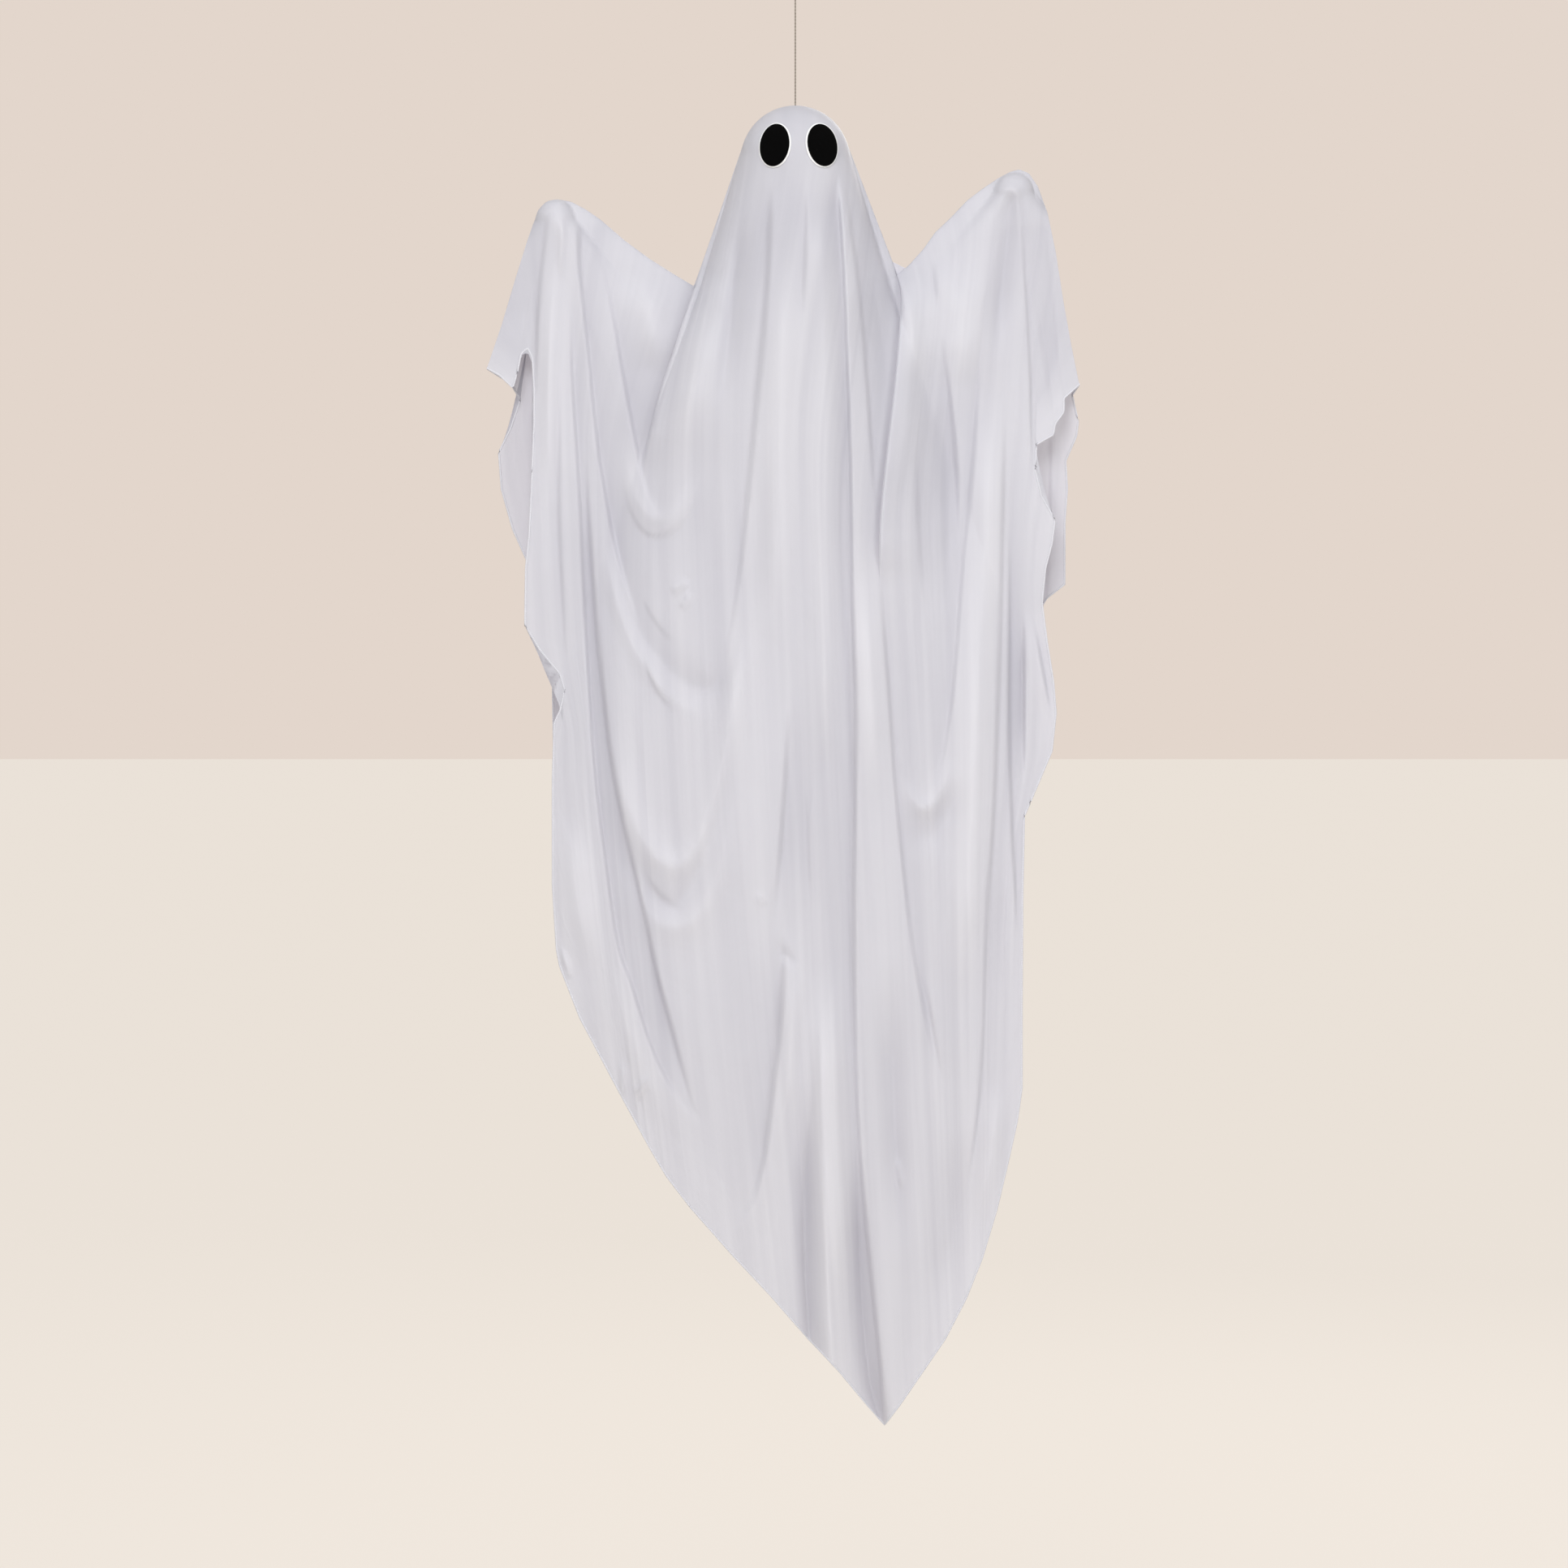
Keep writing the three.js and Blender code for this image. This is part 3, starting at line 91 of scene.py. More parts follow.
def new_material(name, look=None, uv_map=None):
    """A material, its node tree, its shader as look sets it, and the place of each point of its surface."""
    material = bpy.data.materials.new(name)
    material.use_nodes = True
    tree = material.node_tree
    shader = tree.nodes["Principled BSDF"]
    for socket, value in (look or {}).items():
        shader.inputs[socket].default_value = value
    if uv_map:
        place = add_node(tree, "UVMap", uv_map=uv_map).outputs[0]
    else:
        place = add_node(tree, "TexCoord").outputs["Object"]
    return material, tree, shader, place


def two_tones(shader, factor, dark, light):
    colours = {0: factor, 6: linear(dark), 7: linear(light)}
    mix = add_node(shader.id_data, "Mix", colours, data_type="RGBA")
    shader.id_data.links.new(mix.outputs[2], shader.inputs["Base Color"])


def roughen(shader, factor, low, high):
    level = add_node(shader.id_data, "MapRange", {"Value": factor, "To Min": low, "To Max": high})
    shader.id_data.links.new(level.outputs[0], shader.inputs["Roughness"])


def dent(shader, height, distance, strength=1.0, under=None):
    inputs = {"Height": height, "Distance": distance, "Strength": strength}
    if under:
        inputs["Normal"] = under
    bump = add_node(shader.id_data, "Bump", inputs)
    shader.id_data.links.new(bump.outputs[0], shader.inputs["Normal"])
    return bump


def new_piece(name, points, faces, material):
    mesh = bpy.data.meshes.new(name)
    mesh.from_pydata([tuple(p) for p in points], [], [tuple(f) for f in faces])
    mesh.update()
    mesh.polygons.foreach_set("use_smooth", [True] * len(mesh.polygons))
    mesh.materials.append(material)
    piece = bpy.data.objects.new(name, mesh)
    bpy.context.scene.collection.objects.link(piece)
    return piece


def tube(centres, sections):
    """Points and faces of a closed tube; sections holds one ring of points around each centre."""
    count = len(sections[0])
    points = [p for ring in sections for p in ring] + [centres[0], centres[-1]]
    faces = []
    for j in range(len(sections) - 1):
        for k in range(count):
            a, b = j * count + k, j * count + (k + 1) % count
            faces.append((a, b, b + count, a + count))
    first, last = len(points) - 2, len(points) - 1
    end = (len(sections) - 1) * count
    for k in range(count):
        faces.append((first, (k + 1) % count, k))
        faces.append((last, end + k, end + (k + 1) % count))
    return points, faces


def thread_material():
    # Twisted polyester thread: matt and greyish taupe, with painted shade between the plies
    material, tree, shader, place = new_material("twisted_polyester_thread", {"Sheen Weight": 0.2})
    # One turn of the ply every 3 mm
    ply = add_node(tree, "TexWave", {"Vector": place, "Scale": 105.0, "Distortion": 1.5, "Detail": 1.0},
                   bands_direction="Z")
    fibres = add_node(tree, "TexNoise", {"Vector": place, "Scale": 2600.0, "Detail": 3.0})
    ply_shade_and_fibres = add_node(tree, "Math", {0: ply.outputs["Fac"], 1: fibres}, operation="MULTIPLY")
    two_tones(shader, ply_shade_and_fibres, "#857B70", "#B0A79B")
    roughen(shader, fibres, 0.7, 0.95)
    dent(shader, fibres, 0.0001)
    return material


THREAD_D = 0.0015
THREAD_FOOT = -0.15559
THREAD_TOP = -0.0433
PLY_TURN = 0.003
PLY_WAIST = 0.78  # the thread's narrowest width, as a share of its widest
RINGS_PER_TURN = 8
RING_POINTS = 12

thread = thread_material()
thread_rings = round((THREAD_TOP - THREAD_FOOT) / PLY_TURN * RINGS_PER_TURN)
thread_line = [(0.0, 0.0, THREAD_FOOT + (THREAD_TOP - THREAD_FOOT) * i / thread_rings)
               for i in range(thread_rings + 1)]
thread_sections = []
for _, _, z in thread_line:
    twist = math.pi * z / PLY_TURN
    ring = []
    for k in range(RING_POINTS):
        angle = 2 * math.pi * k / RING_POINTS
        reach = THREAD_D / 2 * (PLY_WAIST + (1 - PLY_WAIST) * abs(math.cos(angle - twist)))
        ring.append((reach * math.cos(angle), reach * math.sin(angle), z))
    thread_sections.append(ring)
hanging_thread = new_piece("hanging_thread", *tube(thread_line, thread_sections), thread)
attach(hanging_thread, "figure")
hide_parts("hanging_cord")


def finish_nodes(names, material):
    for name in names:
        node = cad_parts[name]
        if not node.material_slots:
            node.data.materials.append(material)
        for place in node.material_slots:
            place.material = material


finish_nodes(["cord_loop", "cord_knot"], thread)


# Sheet
# Thin satin polyester laid over the globe and both hands, in three drapes that read as one cloth. Pleats fan
# out below the face, cowls sag between the head and the hands, and the tip hangs off to the right. Lengths in
# this section are millimetres; drops count down from the top of the head.
HANG = 150.0
HEAD_R = 50.0  # to the middle of the cloth
HEAD_DROP = 50.5
FLARE = math.radians(16.6)
PIVOT_DROP = 252.0
PIVOT_X = 14.0
ARM_LENGTH = 253.0
HAND_R = 18.0  # to the middle of the cloth
ROD_R = 3.6
LIFT = {-1: math.radians(36), 1: math.radians(43)}
BACK_SHARE = 0.955
LEAVE_DROP = HEAD_DROP - HEAD_R * math.sin(FLARE)
LEAVE_X = HEAD_R * math.cos(FLARE)
PHOTO_MM = 0.7385  # one pixel of the picture, at the figure
PHOTO_TOP = (980, 130)  # the head's top in the picture


def spots(*pixels):
    """Places read off the picture, as x and drop in millimetres."""
    return (np.array(pixels, float) - PHOTO_TOP) * PHOTO_MM


def softened(line):
    """The same line with its corners cut twice."""
    for _ in range(2):
        before, after = line[:-1], line[1:]
        inner = np.stack([before * 0.75 + after * 0.25, before * 0.25 + after * 0.75], 1).reshape(-1, 2)
        line = np.concatenate([line[:1], inner[1:-1], line[-1:]])
    return line


HEM = {
    "left": spots((690, 1190), (715, 1254), (766, 1350), (800, 1412), (821, 1448), (850, 1486)),
    "middle": spots(
        (850, 1486), (903, 1546), (950, 1596), (997, 1650), (1035, 1690), (1068, 1730), (1090, 1755),
        (1109, 1730), (1140, 1685)),
    "right": spots(
        (1140, 1685), (1164, 1650), (1190, 1600), (1210, 1550), (1228, 1490), (1240, 1440), (1253, 1382),
        (1259, 1340)),
}
FRONT_EDGE = {
    "left": spots(
        (600, 453), (616, 462), (632, 477), (638, 455), (642, 435), (650, 428), (656, 440), (658, 480),
        (658, 520), (655, 600), (652, 660), (648, 700), (647, 770), (665, 800), (690, 830), (696, 850),
        (690, 875), (683, 890), (681, 960), (681, 1090), (686, 1170), (690, 1190)),
    "right": spots(
        (1330, 473), (1311, 490), (1311, 507), (1300, 522), (1298, 535), (1277, 547), (1276, 580),
        (1283, 610), (1300, 640), (1296, 670), (1288, 700), (1284, 743), (1290, 790), (1298, 840),
        (1301, 878), (1296, 925), (1275, 975), (1262, 1005), (1260, 1100), (1259, 1240), (1259, 1340)),
}
BACK_EDGE = {
    "left": spots(
        (600, 453), (628, 470), (640, 490), (628, 525), (613, 555), (616, 600), (630, 650), (648, 690),
        (648, 740), (660, 800), (679, 812), (680, 900), (681, 1000), (682, 1070), (687, 1130),
        (690, 1150)),
    "right": spots(
        (1330, 473), (1322, 485), (1330, 517), (1328, 535), (1315, 565), (1317, 600), (1314, 640),
        (1314, 718), (1292, 735), (1286, 745), (1290, 790), (1291, 834), (1285, 870), (1270, 960),
        (1261, 1005), (1259, 1100), (1259, 1240), (1259, 1300)),
}
# The lines where the drape of the head meets the drape of each arm
SEAM = {
    "left": softened(spots(
        (864, 327), (856, 353), (845, 382), (830, 430), (815, 472), (803, 520), (793, 563), (790, 610),
        (788, 700), (790, 850), (797, 1000), (808, 1150), (825, 1300), (838, 1400), (850, 1486))),
    "right": softened(spots(
        (1100, 322), (1106, 341), (1111, 362), (1108, 403), (1103, 462), (1093, 547), (1085, 620),
        (1083, 660), (1083, 700), (1090, 800), (1100, 950), (1112, 1150), (1122, 1350), (1131, 1520),
        (1140, 1685))),
}
LAP_END = {"left": 322.0, "right": 424.0}  # drops where the upper drape stops lying over the lower one
LAP_START = 30.0
LAP_FADE = 40.0
LAP_PAST = 12.0
LAP_RISE = 9.0
LAP_REACH = 22.0
LAP_ROLL = 5.0
LAP_SHADE_FADE = 60.0
LAP_SHADE = 20.0


def smooth(value):
    value = np.clip(value, 0, 1)
    return value * value * (3 - 2 * value)


def lengths_along(line):
    return np.concatenate([[0], np.cumsum(np.linalg.norm(np.diff(line, axis=0), axis=-1))])


def at_share(line, share):
    """Points of a line at shares of its length."""
    along = lengths_along(line)
    return np.stack([np.interp(share * along[-1], along, line[:, i]) for i in (0, 1)], -1)


def off_line(line, x, drop):
    """How far each place lies to the right of a line that runs down, and how far along it."""
    best = np.full(x.shape, 1e9)
    off = np.zeros(x.shape)
    along = np.zeros(x.shape)
    starts = lengths_along(line)
    for (ax, ad), (bx, bd), start in zip(line[:-1], line[1:], starts):
        dx, dd = bx - ax, bd - ad
        length = math.hypot(dx, dd)
        share = np.clip(((x - ax) * dx + (drop - ad) * dd) / length ** 2, 0, 1)
        vx, vd = x - ax - share * dx, drop - ad - share * dd
        far = np.hypot(vx, vd)
        nearer = far < best
        best = np.where(nearer, far, best)
        off = np.where(nearer, far * np.sign(vx * dd - vd * dx), off)
        along = np.where(nearer, start + share * length, along)
    return off, along, starts[-1]


def hand_spot(side):
    x = PIVOT_X + math.cos(LIFT[side]) * ARM_LENGTH
    return side * x, PIVOT_DROP - math.sin(LIFT[side]) * ARM_LENGTH


DOME_STEP = 4  # degrees
dome = np.radians(np.arange(-90 + math.degrees(FLARE), 90 - math.degrees(FLARE) + 0.1, DOME_STEP))
dome_crest = np.stack([HEAD_R * np.sin(dome), HEAD_DROP - HEAD_R * np.cos(dome)], -1)
# The top of each drape, from left to right
CREST = {
    "left": spots(
        (600, 453), (618, 400), (635, 343), (649, 298), (657, 275), (664, 259), (674, 249), (688, 245),
        (704, 248), (721, 257), (740, 270), (770, 296), (800, 318), (830, 337), (855, 352), (864, 327)),
    "middle": np.concatenate([SEAM["left"][:1], dome_crest, SEAM["right"][:1]]),
    "right": spots(
        (1100, 322), (1106, 338), (1120, 326), (1138, 306), (1152, 286), (1172, 267), (1192, 246),
        (1212, 231), (1230, 219), (1245, 211), (1256, 208), (1268, 213), (1279, 229), (1291, 262),
        (1301, 310), (1310, 368), (1320, 424), (1330, 473)),
}
WHOLE_CREST = np.concatenate([CREST["left"], CREST["middle"][1:], CREST["right"][1:]])

# Folds. Each one has how far its right side stands out in front of its left side, or for a ridge how far it
# stands out of the cloth around it, then its widths to the left and right, and its line down the picture.
STEPS = [
    # left arm
    (5, 14, 8, (675, 262), (671, 300), (665, 350), (662, 400), (661, 450), (659, 500)),
    (4, 9, 6, (690, 430), (689, 540), (689, 640), (694, 740), (697, 800), (698, 850)),
    (-6, 16, 9, (704, 330), (704, 450), (709, 530), (715, 620), (719, 720), (726, 850), (731, 930),
     (738, 1000), (749, 1080), (761, 1170), (778, 1210), (800, 1285), (825, 1338), (847, 1370),
     (866, 1384), (884, 1389)),
    (-6, 14, 14, (713, 272), (713, 320), (718, 370), (725, 430), (731, 500), (738, 560), (746, 610),
     (755, 660), (766, 705), (780, 748), (792, 790)),
    (8, 11, 26, (722, 560), (726, 640), (732, 740), (738, 810), (746, 880), (754, 945), (763, 990),
     (774, 1040), (786, 1090), (797, 1140), (808, 1195), (820, 1240), (834, 1290), (846, 1335),
     (856, 1368), (872, 1385)),
    (-6, 20, 14, (735, 305), (748, 350), (758, 400), (766, 450), (777, 510), (785, 552), (791, 590),
     (803, 625), (822, 640)),
    (2.5, 9, 16, (765, 580), (772, 615), (782, 642), (800, 661), (822, 658), (842, 642), (856, 612),
     (866, 570)),
    (3, 9, 16, (788, 790), (797, 822), (806, 845), (817, 862), (834, 878)),
    (2, 6, 10, (790, 735), (806, 765), (820, 782), (834, 790)),
    (2.5, 8, 16, (796, 1075), (808, 1097), (826, 1112), (845, 1118)),
    # head and body
    (5, 13, 12, (950, 228), (948, 300), (945, 360), (941, 410), (935, 470), (928, 540), (921, 620),
     (911, 710), (900, 780), (888, 840)),
    (4, 7, 9, (994, 214), (993, 280), (991, 345), (987, 420)),
    (9, 9, 22, (1032, 204), (1035, 262), (1040, 340), (1043, 430), (1047, 540), (1049, 640), (1050, 760),
     (1054, 860), (1054, 960), (1052, 1060), (1052, 1180), (1054, 1300), (1058, 1400), (1066, 1500),
     (1078, 1620), (1088, 1720), (1096, 1840)),
    (-4, 14, 12, (1040, 212), (1048, 275), (1057, 340), (1063, 400), (1069, 480), (1074, 560),
     (1078, 620), (1081, 665)),
    (-6, 24, 12, (1082, 690), (1086, 740), (1091, 800), (1096, 860), (1100, 930), (1106, 1000),
     (1113, 1070), (1120, 1130), (1128, 1190), (1139, 1245), (1150, 1300), (1162, 1342)),
    (-7, 22, 12, (975, 840), (970, 910), (966, 980), (962, 1040), (956, 1100), (950, 1160)),
    (8, 16, 14, (968, 1120), (966, 1200), (960, 1280), (951, 1350), (946, 1400), (937, 1450), (926, 1484),
     (908, 1506), (884, 1500)),
    (-6, 16, 8, (1000, 1300), (996, 1360), (992, 1420), (990, 1480), (990, 1560), (995, 1640),
     (1004, 1760)),
    (3, 6, 7, (1003, 940), (1000, 975), (996, 1000), (997, 1060), (1000, 1130)),
    (4, 6, 12, (1136, 1190), (1148, 1250), (1156, 1300), (1163, 1340)),
    # right arm
    (7, 18, 18, (1157, 392), (1164, 435), (1170, 480), (1175, 525), (1179, 580), (1181, 640),
     (1182, 700)),
    (3, 8, 10, (1147, 310), (1152, 340), (1156, 380)),
    (-3.2, 14, 12, (1129, 540), (1130, 620), (1134, 690), (1139, 760)),
    (5, 12, 14, (1212, 400), (1208, 450), (1204, 500), (1199, 570), (1193, 630), (1186, 700), (1182, 760),
     (1177, 830), (1171, 880), (1164, 925), (1156, 960), (1146, 985), (1132, 995)),
    (-4, 7, 9, (1256, 222), (1259, 270), (1262, 330), (1266, 390), (1269, 450), (1271, 540), (1272, 620)),
    (-3, 7, 8, (1272, 360), (1284, 420), (1291, 470), (1297, 520)),
    (6, 12, 12, (1291, 270), (1297, 330), (1301, 385), (1304, 440), (1308, 500)),
    (-5, 14, 10, (1237, 480), (1237, 560), (1235, 640), (1234, 720), (1231, 820), (1228, 900),
     (1226, 970), (1222, 1040), (1217, 1100), (1214, 1180), (1212, 1260), (1208, 1340), (1201, 1400),
     (1192, 1460), (1183, 1520)),
    (-6, 10, 10, (1244, 640), (1244, 720), (1244, 800), (1243, 880), (1245, 960), (1248, 1040),
     (1251, 1100), (1255, 1180)),
    (9, 6, 14, (1262, 740), (1262, 820), (1262, 900), (1262, 980)),
    (3, 6, 8, (1244, 1040), (1239, 1110), (1237, 1180), (1238, 1250)),
    (-6, 12, 5, (1272, 755), (1281, 800), (1290, 850), (1297, 890)),
]
RIDGES = [
    (1.5, 3, 3, (692, 262), (692, 300), (690, 345)),
    (4, 9, 9, (683, 300), (678, 400), (676, 520), (674, 650)),
    (5, 18, 18, (790, 330), (805, 400), (806, 460)),
    (-4, 12, 12, (640, 300), (632, 360), (627, 420)),
    (2, 10, 10, (766, 540), (778, 605), (797, 636), (818, 640), (836, 622), (850, 580)),
    (3.5, 13, 13, (752, 900), (768, 980), (795, 1045), (828, 1072), (858, 1050), (880, 990), (898, 900),
     (912, 800), (922, 700)),
    (-2.4, 15, 15, (745, 560), (752, 640), (765, 720), (785, 775), (815, 815), (850, 845), (880, 850),
     (905, 815), (922, 740), (935, 640), (942, 540)),
    (2, 7, 7, (738, 620), (750, 710), (775, 790), (810, 845), (850, 878), (885, 885)),
    (-2, 12, 12, (756, 960), (778, 1060), (812, 1118), (842, 1110), (868, 1060), (890, 985), (905, 900)),
    (2.5, 12, 12, (770, 1060), (790, 1115), (822, 1145), (856, 1135), (880, 1090), (898, 1020),
     (912, 940)),
    (4, 18, 18, (872, 370), (866, 430), (850, 500), (826, 550)),
    (-3, 8, 10, (912, 262), (906, 330), (898, 420), (885, 520)),
    (4, 16, 16, (965, 300), (964, 420), (960, 560), (956, 700), (952, 800)),
    (4, 16, 16, (1012, 260), (1016, 420), (1018, 600), (1018, 800), (1014, 960)),
    (-2.5, 13, 13, (1066, 215), (1070, 270), (1076, 340), (1084, 400), (1092, 460), (1093, 540)),
    (4, 13, 13, (1068, 700), (1070, 800), (1074, 900), (1078, 1000)),
    (4, 10, 10, (978, 1140), (979, 1210), (976, 1290), (968, 1370), (956, 1430)),
    (6, 16, 16, (1026, 1180), (1028, 1300), (1030, 1420), (1034, 1540), (1040, 1620)),
    (-5, 12, 12, (1098, 1180), (1099, 1290), (1102, 1390), (1107, 1480), (1110, 1560)),
    (5, 22, 22, (1176, 320), (1182, 400), (1186, 480)),
    (4, 14, 14, (1118, 350), (1122, 430), (1118, 520), (1106, 620)),
    (-4, 9, 9, (1246, 232), (1240, 300), (1232, 370), (1228, 450)),
    (6, 17, 17, (1222, 480), (1218, 600), (1212, 740), (1205, 860), (1198, 1000), (1192, 1120),
     (1186, 1240)),
    (-3.5, 18, 18, (1182, 1380), (1178, 1480), (1168, 1560), (1154, 1640)),
    (-7, 8, 8, (1053, 1400), (1058, 1520), (1063, 1630), (1072, 1710), (1086, 1752), (1104, 1850)),
    (-6, 7, 7, (984, 1330), (988, 1450), (990, 1570), (996, 1660), (1006, 1780)),
    (5, 9, 9, (1010, 1200), (1012, 1350), (1016, 1500), (1022, 1640), (1034, 1780)),
    (3, 8, 8, (1110, 960), (1136, 1000), (1158, 985), (1174, 930)),
    (-2, 14, 14, (1112, 1000), (1140, 1035), (1166, 1010), (1182, 950)),
    (-1.3, 10, 10, (1136, 530), (1142, 610), (1147, 700), (1150, 790)),
    (-2, 8, 8, (1160, 480), (1166, 560), (1168, 640), (1166, 780)),
    (4, 10, 10, (1118, 340), (1124, 400), (1130, 470)),
    (4, 11, 11, (1228, 1330), (1224, 1400), (1216, 1460), (1206, 1510)),
    (3, 18, 18, (748, 1130), (760, 1230), (790, 1310), (820, 1370), (850, 1420)),
    (4, 16, 16, (700, 1000), (708, 1100), (728, 1200)),
    # small creases
    (1.6, 3, 3, (826, 728), (838, 722), (850, 716)),
    (1.4, 3, 3, (838, 748), (846, 740), (851, 730)),
    (-1.8, 4, 4, (958, 1168), (970, 1178), (983, 1188)),
    (1.2, 3, 3, (930, 1112), (938, 1106), (946, 1108)),
    (1.5, 3, 3, (1104, 1425), (1108, 1445), (1112, 1466)),
    (1.8, 3, 3, (766, 1310), (768, 1330), (764, 1352)),
    (1.6, 4, 4, (782, 1350), (792, 1338), (800, 1326)),
    (1.5, 3, 3, (690, 1168), (697, 1185), (702, 1204)),
]
LIP = 1.9  # half the width of a step
STEP_HEIGHT = 0.95
RIDGE_HEIGHT = 1.6
RIDGE_ROUND = 1.6
RAISED_WIDER = 1.6
SHADE_WIDER = 2.2
FOLD_REACH = 6.0
FOLD_ENDS = 110.0  # a fold rises and dies away over this length, or over this share of its own
FOLD_END_SHARE = 0.42
GATHERED_DROP = 105.0  # folds that start above it are gathered at a hand or under the face
HANDS_FROM = 150.0
HAND_START = 12.0
FACE_START = 45.0
MIRRORED = -0.92  # the back has the front's folds, mirrored, closer together and lower
BACK_FOLDS = 0.7


def folds_near(x, drop):
    """Each fold, the places near it, how far off it they lie, its width and its share there."""
    for folds, is_step in ((STEPS, True), (RIDGES, False)):
        for height, left, right, *places in folds:
            line = softened(spots(*places))
            reach = FOLD_REACH * max(left, right)
            low, high = line.min(0) - reach, line.max(0) + reach
            near = (x > low[0]) & (x < high[0]) & (drop > low[1]) & (drop < high[1])
            off, along, length = off_line(line, x[near], drop[near])
            start = ends = min(FOLD_ENDS, length * FOLD_END_SHARE)
            if line[0, 1] < GATHERED_DROP:
                start = HAND_START if abs(line[0, 0]) > HANDS_FROM else FACE_START
            share = smooth((along + 2) / start) * smooth((length - along + 1) / ends)
            yield is_step, height, near, off, np.where(off > 0, right, left), share


def rounded(off, width):
    return np.exp(-(np.abs(off) / width) ** RIDGE_ROUND)


def fold_height(x, drop):
    total = np.zeros(x.shape)
    for is_step, height, near, off, width, share in folds_near(x, drop):
        if is_step:
            width = width * np.where(off * height > 0, RAISED_WIDER, 1.0)
            round_off = np.sqrt(off * off + 1.0) - 1.0
            shape = 0.5 * np.tanh(off / LIP) * np.exp(-round_off / width) * STEP_HEIGHT
        else:
            shape = rounded(off, width) * RIDGE_HEIGHT
        total[near] += height * share * shape
    return total


# Painted shade beside each step and each ridge, for each millimetre of its height
STEP_SHADE = 1 / 10
RIDGE_SHADE = 1 / 8
CHIN_SHADE = (0.55, 48.0, 105.0, 75.0)  # strength, half width, drop and half height of the painted shade under the face


def painted_fold_shade(x, drop):
    """How much painted shade each place gets beside the folds and under the face: 0 on open cloth, 1 beside a
    tall fold.
    """
    total = np.zeros(x.shape)
    for is_step, height, near, off, width, share in folds_near(x, drop):
        if is_step:
            low_side = 0.5 - 0.5 * np.tanh(off * np.sign(height) / LIP)
            fall = np.exp(-np.abs(off) / (SHADE_WIDER * width))
            total[near] += abs(height) * STEP_SHADE * share * low_side * fall
        else:
            total[near] -= height * RIDGE_SHADE * share * rounded(off, width)
    depth, wide, low, high = CHIN_SHADE
    return total + depth * np.exp(-(x / wide) ** 2 - ((drop - low) / high) ** 2)


SKIRT_DROP = 164.0
SKIRT_WIDER = 0.06
CHEST_OUT = 9.0
CHEST_FALL = 260.0
# The drops where the head's drape begins to open out at its left and right sides, and how long it takes
OPENS = {"left": (250.0, 150.0), "right": (165.0, 60.0)}
THIN = 5.0  # how far the cloth hangs from the arms' plane near the crest, and how much further below
FULLER = 17.0
FULL_FALL = 90.0
TURN = 22.0
HAND_SPREAD = 22.0
HAND_FALL = 60.0
FOLDS_FROM = 30.0
LEAST_DEPTH = 4.0
LEAST_SLOPE = 0.3


def rest_depth(x, drop, back):
    """How far the cloth hangs in front of the arms' plane, or behind it, without its laps."""
    gap = np.abs(off_line(WHOLE_CREST, x, drop)[0])
    ball = np.sqrt(np.maximum(0, HEAD_R ** 2 - (HEAD_DROP - drop) ** 2))
    cone = LEAVE_X + (drop - LEAVE_DROP) * math.tan(FLARE)
    half = np.where(drop <= LEAVE_DROP, ball, cone + np.maximum(0, drop - SKIRT_DROP) * SKIRT_WIDER)
    chest = HEAD_R + CHEST_OUT * (1 - np.exp(-(drop - HEAD_DROP) / CHEST_FALL))
    middle = np.where(drop <= HEAD_DROP, ball, chest)
    # The drape of the head turns round its own sides, as far down as it hangs free of the arms
    left, right = (smooth((drop - start) / length) for start, length in OPENS.values())
    power = 0.5 + 0.25 * np.where(x < 0, left, right)
    lens = middle * np.maximum(0, 1 - (x / np.maximum(half, 1e-6)) ** 2) ** power
    flat = THIN + FULLER * (1 - np.exp(-gap / FULL_FALL))
    edge = 1 - np.minimum(gap / TURN, 1)
    around = lens ** 2 + (flat * np.sqrt(1 - edge * edge)) ** 2
    for side in (-1, 1):
        hand_x, hand_drop = hand_spot(side)
        below = drop - hand_drop
        spread = 1 + np.maximum(below, 0) / HAND_SPREAD
        bell = HAND_R ** 2 - ((x - hand_x) / spread) ** 2 - np.minimum(below, 0) ** 2
        around = around + np.maximum(bell, 0) * np.exp(-np.maximum(below, 0) / HAND_FALL)
    folds = fold_height(MIRRORED * x, drop) * BACK_FOLDS if back else fold_height(x, drop)
    shape = np.sqrt(around) + folds * np.minimum(1, gap / FOLDS_FROM)
    return np.maximum(shape, np.minimum(LEAST_DEPTH, gap * LEAST_SLOPE))


def laps(back):
    """Each seam, with the drapes that lie over and under it, and which way the upper one lies."""
    right = ("right", "middle", "right", -1) if back else ("right", "right", "middle", 1)
    return ("left", "middle", "left", 1), right


def at_seam(name, x, drop, inward, fade):
    """How far each place lies inside a seam, and the share of its lap that is left there."""
    off, along, _ = off_line(SEAM[name], x, drop)
    share = smooth(along / LAP_START) * smooth((LAP_END[name] + LAP_PAST - drop) / fade)
    return np.maximum(0, off * inward), share


def lapped(name, x, drop, inward):
    """How much further out the drape that laps over a seam lies than the one under it."""
    inside, share = at_seam(name, x, drop, inward, LAP_FADE)
    bow = LAP_RISE * np.exp(-inside / LAP_REACH)
    roll = np.minimum(inside, LAP_ROLL)
    under = LAP_ROLL - np.sqrt(LAP_ROLL ** 2 - (LAP_ROLL - roll) ** 2)
    return share * (bow - under)


INSIDE_CUFF_SHADE = {"left": 0.8, "right": 0.3}  # how much painted shade darkens the inside of each cuff, above this drop
CUFF_DROP = 700.0
CUFF_FADE = 120.0
ROWS = 240
COLUMNS = {"left": 150, "middle": 176, "right": 164}
FALL = 1150.0
CUFF_PULL = (2.5, 5.0)  # how sharply the pull to the cuff dies away, across and down


